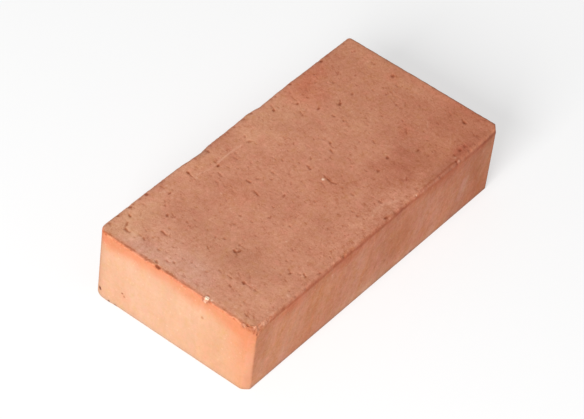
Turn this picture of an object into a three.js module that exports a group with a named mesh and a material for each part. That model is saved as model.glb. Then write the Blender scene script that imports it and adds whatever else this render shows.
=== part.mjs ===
// Solid wire-cut clay brick, 240 x 118 x 52 mm, fired in one piece: no holes, no frog.
//
// Frame: +X along the length, +Y along the width, +Z up, millimetres.
// Origin at the centre of the bed face the brick lies on.
//
// The clay leaves the die as a column with a 240 x 118 mm section, so the two long sides
// and the two ends are smooth and the four upright edges keep the die's rounding. The two
// front ones are worn below the rim to a narrow facet between two tighter turns. The wire
// cuts the two beds. The upper bed's rim is worn round, tighter along the left end, and it
// reaches further down at both ends of the front side. It carries the waves that the wire
// pulled into it: a dent, a lip and a second dent on the back edge, and a slight flare of
// the front edge. The lower bed's rim is nearly sharp.

import * as THREE from "three";
import { mergeVertices } from "three/addons/utils/BufferGeometryUtils.js";

// ---- driving dimensions (mm) ----
const LENGTH = 240;
const WIDTH = 118;
const HEIGHT = 52;

// The four upright edges, anticlockwise from the front left corner of the plan. Each turns
// through three arcs, [radius, degrees], given at the rim, just below it and at the foot.
const R_FRONT_LEFT = 4.8;
const R_BACK_RIGHT = 2.6;
const R_BACK_LEFT = 7.9;
const even = (r) => [[r, 30], [r, 30], [r, 30]];
const RIGHT_FACET = [[1.5, 37], [15, 16], [1.5, 37]];
const CORNERS = [
  {
    x: -1, y: -1, from: Math.PI,
    rim: [[R_FRONT_LEFT, 34], [R_FRONT_LEFT, 12], [R_FRONT_LEFT, 44]],
    high: [[3.4, 34], [19, 12], [1.2, 44]],
    foot: [[2.6, 36], [25, 10], [1.2, 44]],
  },
  {
    x: 1, y: -1, from: 1.5 * Math.PI,
    rim: [[2.8, 36], [8, 18], [2.8, 36]], high: RIGHT_FACET, foot: RIGHT_FACET,
  },
  { x: 1, y: 1, from: 0, rim: even(R_BACK_RIGHT), high: even(R_BACK_RIGHT), foot: even(R_BACK_RIGHT) },
  { x: -1, y: 1, from: 0.5 * Math.PI, rim: even(R_BACK_LEFT), high: even(R_BACK_LEFT), foot: even(R_BACK_LEFT) },
];
const FACET_STARTS = 2.6; // how far under the upper bed the facets begin
const FACET_FULL = 7.5; // and where they are fully worn

const R_TOP_RIM = 2.4; // worn rim of the upper bed
const R_TOP_RIM_LEFT = 1.1; // the same along the left end
const R_BOTTOM_RIM = 0.9; // rim of the lower bed
// How much further down the front side the worn rim reaches, as [position along X, depth].
const FRONT_RIM_DROP = [
  [-112, 1.5], [-98, 0], [45, 0], [78, 1.3], [82, 1.3], [92, 0.39], [120, 0.39],
];

// How far the rim of the upper bed stands out of (+) or inside (-) the side's flat plane,
// as [position along X, offset].
const BACK_RIM_WAVE = [
  [-120, 0], [-100, 0], [-76, 0.15], [-50, 0.15], [-44, -0.08], [-36, -0.72], [-28, -1.1],
  [-24, -0.66], [-20, -0.2], [-8, -0.06], [5, 0.08], [12, 0.4], [18, 0.7], [22, 0.35],
  [25, -0.1], [29, -0.66], [34, -0.5], [40, -0.28], [50, -0.08], [60, 0.1], [68, -0.06],
  [90, 0.08], [120, 0],
];
const FRONT_RIM_WAVE = [
  [-120, 0.5], [-100, 0.5], [-70, 0.4], [-40, 0.1], [-15, 0.35], [10, 0.4], [24, 0.1],
  [40, 0.5], [60, 0.75], [90, 0.85], [104, 0.7], [114, 0], [120, -0.4],
];
const WAVE_DEPTH = 16; // how far down the side a wave fades out

// Facets.
const ARC_STEPS = 2;
const LONG_SIDE_STEP = 4;
const END_STEP = 10;
const RIM_STEPS = 3;
const LEVELS = [HEIGHT - WAVE_DEPTH, 40, 42.8, 44.5, 46.8]; // heights of the loops under the rim

const COLOUR = 0xbf7a5c;

// ---- helpers ----
// Smooth interpolation through a table of [x, value] rows.
function wave(table, x) {
  if (x <= table[0][0]) return table[0][1];
  for (let i = 1; i < table.length; i++) {
    const [x0, v0] = table[i - 1];
    const [x1, v1] = table[i];
    if (x <= x1) {
      const t = (x - x0) / (x1 - x0);
      return v0 + (v1 - v0) * t * t * (3 - 2 * t);
    }
  }
  return table[table.length - 1][1];
}

// A smooth step from 0 at a to 1 at b.
function smooth(a, b, x) {
  const t = Math.min(1, Math.max(0, (x - a) / (b - a)));
  return t * t * (3 - 2 * t);
}

// One corner's points, each with its place and the outward direction there.
function turn(corner, arcs) {
  const along = new THREE.Vector2(-Math.sin(corner.from), Math.cos(corner.from));
  let a = corner.from;
  let p = new THREE.Vector2(0, 0);
  const points = [{ p, a }];
  for (const [r, degrees] of arcs) {
    const centre = p.clone().sub(new THREE.Vector2(Math.cos(a), Math.sin(a)).multiplyScalar(r));
    for (let k = 1; k <= ARC_STEPS; k++) {
      const b = a + THREE.MathUtils.degToRad((degrees * k) / ARC_STEPS);
      p = centre.clone().add(new THREE.Vector2(Math.cos(b), Math.sin(b)).multiplyScalar(r));
      points.push({ p, a: b });
    }
    a += THREE.MathUtils.degToRad(degrees);
  }
  const start = new THREE.Vector2((corner.x * LENGTH) / 2, (corner.y * WIDTH) / 2);
  start.addScaledVector(along, -p.dot(along));
  return points.map((q) => ({
    x: start.x + q.p.x, y: start.y + q.p.y, n: new THREE.Vector2(Math.cos(q.a), Math.sin(q.a)),
  }));
}

// The plan outline at one level, anticlockwise from the front left corner.
function outline(level) {
  const turns = CORNERS.map((corner) => turn(corner, corner[level]));
  const points = [];
  turns.forEach((corner, i) => {
    points.push(...corner);
    // the straight run to the next corner, without its two ends
    const start = corner[corner.length - 1];
    const end = turns[(i + 1) % 4][0];
    const n = new THREE.Vector2(Math.round(start.n.x), Math.round(start.n.y));
    const count = i % 2 === 0 ? Math.round(LENGTH / LONG_SIDE_STEP) - 2 : Math.round(WIDTH / END_STEP) - 1;
    for (let k = 1; k < count; k++) {
      const t = k / count;
      points.push({ x: start.x + (end.x - start.x) * t, y: start.y + (end.y - start.y) * t, n });
    }
  });
  return points;
}

// The brick's columns: the same points of the outline at its three levels.
function columns() {
  const [rim, high, foot] = ["rim", "high", "foot"].map(outline);
  return rim.map((p, i) => ({ rim: p, high: high[i], foot: foot[i] }));
}

// One loop of the skin: each column pulled in by its inset, at its height z.
function loop(all, place) {
  return all.map((c) => {
    const { z, inset } = place(c.rim);
    const worn = smooth(HEIGHT - FACET_STARTS, HEIGHT - FACET_FULL, z);
    const low = (HEIGHT - z) / HEIGHT;
    const mix = (f) => {
      const below = f(c.high) + (f(c.foot) - f(c.high)) * low;
      return f(c.rim) + (below - f(c.rim)) * worn;
    };
    const [nx, ny] = [mix((p) => p.n.x), mix((p) => p.n.y)];
    const x = mix((p) => p.x) - nx * inset;
    const y = mix((p) => p.y) - ny * inset;
    const share = smooth(HEIGHT - WAVE_DEPTH, HEIGHT - R_TOP_RIM, z);
    const out = ny * share * wave(ny > 0 ? BACK_RIM_WAVE : FRONT_RIM_WAVE, x + nx * inset);
    return new THREE.Vector3(x, y + out, z);
  });
}

// The rim's radius and its drop at a point of the outline.
function rimRadius(p) {
  return R_TOP_RIM + (R_TOP_RIM_LEFT - R_TOP_RIM) * smooth(0.1, 0.95, -p.n.x);
}
function rimDrop(p) {
  const onFront = smooth(0.55, 0.95, -p.n.y) * smooth(120, 116, Math.abs(p.x));
  return onFront * wave(FRONT_RIM_DROP, p.x);
}

// A closed skin through a stack of loops, with a flat cap at each end.
function skin(loops) {
  const n = loops[0].length;
  const position = [];
  loops.forEach((l) => l.forEach((p) => position.push(p.x, p.y, p.z)));
  const index = [];
  for (let j = 0; j + 1 < loops.length; j++) {
    for (let i = 0; i < n; i++) {
      const a = j * n + i;
      const b = j * n + ((i + 1) % n);
      index.push(a, b, b + n, a, b + n, a + n);
    }
  }
  const cap = (base, up) => {
    const ring = loops[base / n].map((p) => new THREE.Vector2(p.x, p.y));
    for (const [a, b, c] of THREE.ShapeUtils.triangulateShape(ring, [])) {
      if (up) index.push(base + a, base + b, base + c);
      else index.push(base + a, base + c, base + b);
    }
  };
  cap(0, false);
  cap((loops.length - 1) * n, true);
  const geometry = new THREE.BufferGeometry();
  geometry.setAttribute("position", new THREE.Float32BufferAttribute(position, 3));
  geometry.setIndex(index);
  return mergeVertices(geometry, 1e-4);
}

// ---- the brick ----
function brickGeometry() {
  const all = columns();
  const loops = [];
  for (let k = RIM_STEPS; k >= 0; k--) {
    const a = (k / RIM_STEPS) * 0.5 * Math.PI;
    const [z, inset] = [R_BOTTOM_RIM * (1 - Math.sin(a)), R_BOTTOM_RIM * (1 - Math.cos(a))];
    loops.push(loop(all, () => ({ z, inset })));
  }
  for (const z of LEVELS) loops.push(loop(all, () => ({ z, inset: 0 })));
  for (let k = 0; k <= RIM_STEPS; k++) {
    const a = (k / RIM_STEPS) * 0.5 * Math.PI;
    loops.push(loop(all, (p) => ({
      z: HEIGHT - (rimRadius(p) + rimDrop(p)) * (1 - Math.sin(a)),
      inset: rimRadius(p) * (1 - Math.cos(a)),
    })));
  }
  return skin(loops);
}

const brick = new THREE.Mesh(
  brickGeometry(),
  new THREE.MeshStandardMaterial({ color: COLOUR, roughness: 0.9, metalness: 0 }),
);
brick.name = "brick";

const part = new THREE.Group();
part.name = "clay_brick";
part.add(brick);

export default part;
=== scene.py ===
import math

import bpy
import numpy as np
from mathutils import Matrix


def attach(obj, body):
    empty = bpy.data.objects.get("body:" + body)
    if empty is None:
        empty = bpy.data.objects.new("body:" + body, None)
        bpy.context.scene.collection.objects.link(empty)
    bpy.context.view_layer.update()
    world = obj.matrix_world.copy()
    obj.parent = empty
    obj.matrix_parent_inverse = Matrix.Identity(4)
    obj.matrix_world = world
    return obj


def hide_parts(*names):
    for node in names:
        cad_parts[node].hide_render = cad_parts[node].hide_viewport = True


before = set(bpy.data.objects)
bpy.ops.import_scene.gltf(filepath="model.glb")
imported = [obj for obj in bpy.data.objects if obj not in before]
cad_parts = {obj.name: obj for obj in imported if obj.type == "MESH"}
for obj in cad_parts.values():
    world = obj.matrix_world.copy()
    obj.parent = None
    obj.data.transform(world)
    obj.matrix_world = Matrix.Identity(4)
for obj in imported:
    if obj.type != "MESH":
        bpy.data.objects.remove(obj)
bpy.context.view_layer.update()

# ------------------------------------------------------------------ the solid's dimensions
LENGTH, WIDTH, HEIGHT = 240.0, 118.0, 52.0
R_FRONT_LEFT, R_FRONT_RIGHT, R_BACK_RIGHT, R_BACK_LEFT = 4.8, 5.4, 2.6, 7.9
R_TOP_RIM, R_TOP_RIM_LEFT, R_BOTTOM_RIM = 2.4, 1.1, 0.9
BACK_RIM_WAVE = [
    (-120, 0), (-100, 0), (-76, 0.15), (-50, 0.15), (-44, -0.08), (-36, -0.72), (-28, -1.1),
    (-24, -0.66), (-20, -0.2), (-8, -0.06), (5, 0.08), (12, 0.4), (18, 0.7), (22, 0.35),
    (25, -0.1), (29, -0.66), (34, -0.5), (40, -0.28), (50, -0.08), (60, 0.1), (68, -0.06),
    (90, 0.08), (120, 0),
]
FRONT_RIM_WAVE = [
    (-120, 0.5), (-100, 0.5), (-70, 0.4), (-40, 0.1), (-15, 0.35), (10, 0.4), (24, 0.1),
    (40, 0.5), (60, 0.75), (90, 0.85), (104, 0.7), (114, 0.0), (120, -0.4),
]
WAVE_DEPTH = 16.0

# mesh density: cells along the length and the width of the upper bed
NX, NY = 320, 160


# ------------------------------------------------------------------ small maths
def smooth(a, b, x):
    t = np.clip((np.asarray(x, float) - a) / (b - a), 0.0, 1.0)
    return t * t * (3.0 - 2.0 * t)


def wave(table, x):
    x = np.asarray(x, float)
    xs = np.array([r[0] for r in table], float)
    vs = np.array([r[1] for r in table], float)
    i = np.clip(np.searchsorted(xs, x, side="right") - 1, 0, len(xs) - 2)
    t = np.clip((x - xs[i]) / (xs[i + 1] - xs[i]), 0.0, 1.0)
    return vs[i] + (vs[i + 1] - vs[i]) * t * t * (3.0 - 2.0 * t)


def _corner(i, j, k, seed):
    h = (
        i.astype(np.uint32) * np.uint32(0x8DA6B343)
        ^ j.astype(np.uint32) * np.uint32(0xD8163841)
        ^ k.astype(np.uint32) * np.uint32(0xCB1AB31F)
        ^ np.uint32((seed * 0x9E3779B1) & 0xFFFFFFFF)
    )
    h ^= h >> np.uint32(15)
    h *= np.uint32(0x2C1B3C6D)
    h ^= h >> np.uint32(12)
    h *= np.uint32(0x297A2D39)
    h ^= h >> np.uint32(15)
    return h


def noise(p, size, seed, stretch=(1.0, 1.0, 1.0)):
    """Gradient noise, about -1 to 1, with features of the given size in millimetres."""
    q = np.asarray(p, float) / (size * np.asarray(stretch, float))
    base = np.floor(q)
    f = q - base
    i, j, k = (base[:, a].astype(np.int64) for a in range(3))
    u = f * f * f * (f * (f * 6.0 - 15.0) + 10.0)
    total = np.zeros(len(q))
    for di in (0, 1):
        for dj in (0, 1):
            for dk in (0, 1):
                h = _corner(i + di, j + dj, k + dk, seed)
                gx = ((h & np.uint32(1023)).astype(float) / 511.5) - 1.0
                gy = (((h >> np.uint32(10)) & np.uint32(1023)).astype(float) / 511.5) - 1.0
                gz = (((h >> np.uint32(20)) & np.uint32(1023)).astype(float) / 511.5) - 1.0
                d = gx * (f[:, 0] - di) + gy * (f[:, 1] - dj) + gz * (f[:, 2] - dk)
                w = (
                    (u[:, 0] if di else 1 - u[:, 0])
                    * (u[:, 1] if dj else 1 - u[:, 1])
                    * (u[:, 2] if dk else 1 - u[:, 2])
                )
                total += d * w
    return np.clip(total * 1.35, -1.0, 1.0)


def fbm(p, size, seed, octaves=3, gain=0.5, stretch=(1.0, 1.0, 1.0)):
    total, amount, norm = 0.0, 1.0, 0.0
    for o in range(octaves):
        total = total + amount * noise(p, size / 2.03**o, seed + 17 * o, stretch)
        norm += amount
        amount *= gain
    return total / norm


# ------------------------------------------------------------------ the outline in plan
HX, HY = LENGTH / 2, WIDTH / 2


def outline(front_left, front_right):
    """The corners, anticlockwise: sharp corner, its arcs as (radius, degrees), first normal."""
    return [
        (-HX, -HY, front_left, math.pi),
        (HX, -HY, front_right, 1.5 * math.pi),
        (HX, HY, [(R_BACK_RIGHT, 90)], 0.0),
        (-HX, HY, [(R_BACK_LEFT, 90)], 0.5 * math.pi),
    ]


ROUND = outline([(R_FRONT_LEFT, 90)], [(2.8, 36), (8.0, 18), (2.8, 36)])
# below the rim the two front corners are worn to a narrow facet with a crease at either side
CREASE_HIGH = outline([(3.4, 34), (19.0, 12), (1.0, 44)], [(1.5, 37), (15.0, 16), (1.5, 37)])
CREASE_LOW = outline([(2.6, 36), (25.0, 10), (0.9, 44)], [(1.5, 37), (15.0, 16), (1.5, 37)])


def turn(corner):
    """A corner's arcs as (length, centre x, centre y, radius, first angle), with its two ends."""
    cx, cy, arcs, a = corner
    n0 = np.array([math.cos(a), math.sin(a)])
    n1 = np.array([-n0[1], n0[0]])
    p, made = np.zeros(2), []
    for r, degrees in arcs:
        c = p - r * np.array([math.cos(a), math.sin(a)])
        made.append([r * math.radians(degrees), c, r, a])
        a += math.radians(degrees)
        p = c + r * np.array([math.cos(a), math.sin(a)])
    start = np.array([cx, cy]) - n1 * (p @ n1)
    for arc in made:
        arc[1] = arc[1] + start
    return made, start, start + p


def on_turn(arcs, d):
    for length, c, r, a in arcs:
        if d <= length or arcs[-1][1] is c:
            t = a + min(d, length) / r
            return (c[0] + r * math.cos(t), c[1] + r * math.sin(t), math.cos(t), math.sin(t))
        d -= length


def split(arcs):
    """Where a corner's arcs part into the two sides: halfway, or just before a sharp last arc."""
    total = sum(arc[0] for arc in arcs)
    return 0.5 * total if arcs[-1][2] > 1.2 else total - arcs[-1][0] - 2.4


def side_points(corners, which, n):
    """n + 1 points and outward normals from one corner's split to the next one's."""
    first, _, leave = turn(corners[which])
    second, arrive, _ = turn(corners[(which + 1) % 4])
    cut, lb = split(first), split(second)
    la = sum(arc[0] for arc in first) - cut
    straight = float(np.hypot(*(arrive - leave)))
    end = corners[(which + 1) % 4][3]
    nx, ny = round(math.cos(end)), round(math.sin(end))
    total = la + straight + lb
    # the columns stand closer together at the corners
    fine_s = np.linspace(0.0, total, 4001)
    near = np.exp(-(((fine_s - 2.4) / 3.0) ** 2)) + np.exp(-(((total - fine_s - 2.4) / 3.4) ** 2))
    share = 1.0 / (1.0 - 0.58 * near)
    share = np.concatenate([[0.0], np.cumsum(0.5 * (share[1:] + share[:-1]))])
    out = np.zeros((n + 1, 4))
    for i, d in enumerate(np.interp(np.linspace(0.0, share[-1], n + 1), share, fine_s)):
        if d <= la:
            out[i] = on_turn(first, cut + d)
        elif d <= la + straight:
            t = d - la
            out[i] = (leave[0] - ny * t, leave[1] + nx * t, nx, ny)
        else:
            out[i] = on_turn(second, d - la - straight)
    return out


def ring_of(corners):
    runs = (side_points(corners, 0, NX), side_points(corners, 1, NY), side_points(corners, 2, NX), side_points(corners, 3, NY))
    return np.vstack([run[:-1] for run in runs])


ring = np.hstack([ring_of(ROUND), ring_of(CREASE_HIGH), ring_of(CREASE_LOW)])  # 2 (NX + NY) columns


def at_height(columns, z):
    """The columns' places and normals at height z."""
    crease = smooth(HEIGHT - 2.6, HEIGHT - 7.5, z)[:, None]
    low = np.clip((HEIGHT - z) / HEIGHT, 0.0, 1.0)[:, None]
    below = columns[:, 4:8] + (columns[:, 8:] - columns[:, 4:8]) * low
    return columns[:, :4] + (below - columns[:, :4]) * crease


def place(columns, z, inset):
    """Points of the outline pulled in by inset, at height z, with the rim's waves."""
    z = np.broadcast_to(np.asarray(z, float), (len(columns),))
    columns = at_height(columns, z)
    fade = np.clip((z - (HEIGHT - WAVE_DEPTH)) / (WAVE_DEPTH - R_TOP_RIM), 0.0, 1.0)
    share = fade * fade * (3.0 - 2.0 * fade)
    x = columns[:, 0] - columns[:, 2] * inset
    y = columns[:, 1] - columns[:, 3] * inset
    back = columns[:, 3] > 0
    out = columns[:, 3] * share * np.where(
        back, wave(BACK_RIM_WAVE, columns[:, 0]), wave(FRONT_RIM_WAVE, columns[:, 0])
    )
    return np.stack([x, y + out, z], 1)


# ------------------------------------------------------------------ the mesh
verts, norms = [], []  # base places and outward directions
faces = []
count = 0


def add(points, normals):
    global count
    verts.append(points)
    norms.append(normals)
    start = count
    count += len(points)
    return np.arange(start, count)


def coons(front, right, back, left, nx, ny):
    """A grid (ny + 1, nx + 1, 3) inside four boundary runs, given left to right and front to back."""
    u = np.linspace(0, 1, nx + 1)[None, :, None]
    v = np.linspace(0, 1, ny + 1)[:, None, None]
    c0, c1 = front[None, :, :], back[None, :, :]
    d0, d1 = left[:, None, :], right[:, None, :]
    p00, p10, p01, p11 = front[0], front[-1], back[0], back[-1]
    return (
        (1 - v) * c0 + v * c1 + (1 - u) * d0 + u * d1
        - ((1 - u) * (1 - v) * p00 + u * (1 - v) * p10 + (1 - u) * v * p01 + u * v * p11)
    )


def bed(ring_points, ring_ids, nx, ny, up):
    """Fills a ring with a grid. Returns nothing: the ring's own vertices are its border."""
    p = ring_points
    n = len(p)
    front = p[0 : nx + 1]
    right = p[nx : nx + ny + 1]
    back = p[nx + ny : 2 * nx + ny + 1][::-1]
    left = np.vstack([p[2 * nx + ny :], p[:1]])[::-1]
    grid = coons(front, right, back, left, nx, ny)
    ids = np.zeros((ny + 1, nx + 1), int)
    inner = grid[1:-1, 1:-1].reshape(-1, 3)
    normal = np.tile([0.0, 0.0, 1.0 if up else -1.0], (len(inner), 1))
    ids[1:-1, 1:-1] = add(inner, normal).reshape(ny - 1, nx - 1)
    ids[0, :] = ring_ids[0 : nx + 1]
    ids[:, -1] = ring_ids[nx : nx + ny + 1]
    ids[-1, :] = ring_ids[nx + ny : 2 * nx + ny + 1][::-1]
    ids[:, 0] = np.append(ring_ids[2 * nx + ny :], ring_ids[0])[::-1]
    a, b = ids[:-1, :-1].ravel(), ids[:-1, 1:].ravel()
    c, d = ids[1:, 1:].ravel(), ids[1:, :-1].ravel()
    faces.append(np.stack([a, b, c, d] if up else [a, d, c, b], 1))
    return ids


def ring_rows(columns, rows):
    """Stacks rings, each (inset, z, vertical part of the normal), as quads."""
    made = []
    for inset, z, nz in rows:
        h = math.sqrt(max(0.0, 1.0 - nz * nz))
        p = place(columns, z, inset)
        out = at_height(columns, np.broadcast_to(z, (len(columns),)))[:, 2:4]
        out = out / np.linalg.norm(out, axis=1)[:, None]
        nrm = np.stack([out[:, 0] * h, out[:, 1] * h, np.full(len(columns), nz)], 1)
        made.append((p, add(p, nrm)))
    for (_, upper), (_, lower) in zip(made, made[1:]):
        a, b = upper, np.roll(upper, -1)
        c, d = np.roll(lower, -1), lower
        faces.append(np.stack([a, d, c, b], 1))
    return made


RIM_ROWS = 8
rim = R_TOP_RIM + (R_TOP_RIM_LEFT - R_TOP_RIM) * smooth(0.1, 0.95, -ring[:, 2])
# on the front the broken rim reaches further down at its two ends
drop = 1.3 * smooth(45, 78, ring[:, 0]) * (1.0 - 0.7 * smooth(82, 92, ring[:, 0])) + 1.5 * smooth(-98, -112, ring[:, 0])
drop *= smooth(0.55, 0.95, -ring[:, 3]) * smooth(120, 116, np.abs(ring[:, 0]))
rows = []
for k in range(RIM_ROWS + 1):
    phi = k / RIM_ROWS * math.pi / 2
    down = (rim + drop) * (1 - math.cos(phi))
    rows.append((rim * (1 - math.sin(phi)), HEIGHT - down, math.cos(phi)))
RIM_FOOT, JOIN = HEIGHT - R_TOP_RIM, 38.5
z = RIM_FOOT
step = 0.6
while z > JOIN:
    z -= step
    step = min(step * 1.14, 1.7)
    rows.append((0.0, z - drop * max(0.0, (z - JOIN) / (RIM_FOOT - JOIN)), 0.0))
upper = ring_rows(ring, rows)
top_ids = bed(upper[0][0], upper[0][1], NX, NY, True)

# half as many columns below, joined by a row of triangles
half = ring[::2]
rows = []
z0 = float(upper[-1][0][:, 2].min())
levels = np.linspace(z0, R_BOTTOM_RIM, int(round((z0 - R_BOTTOM_RIM) / 1.55)) + 1)[1:]
for zz in levels:
    rows.append((0.0, float(zz), 0.0))
for k in range(1, 5):
    phi = k / 4 * math.pi / 2
    rows.append((R_BOTTOM_RIM * (1 - math.cos(phi)), R_BOTTOM_RIM * (1 - math.sin(phi)), -math.sin(phi)))
lower = ring_rows(half, rows)
a = upper[-1][1]
b = lower[0][1]
a0, a1, a2 = a[::2], a[1::2], np.roll(a, -1)[1::2]
b0, b1 = b, np.roll(b, -1)
tris = np.vstack([np.stack([a0, b0, a1], 1), np.stack([a1, b0, b1], 1), np.stack([a1, b1, a2], 1)])
under_ids = bed(lower[-1][0], lower[-1][1], NX // 2, NY // 2, False)

P = np.vstack(verts)
N = np.vstack(norms)
quads = np.vstack(faces)

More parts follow.
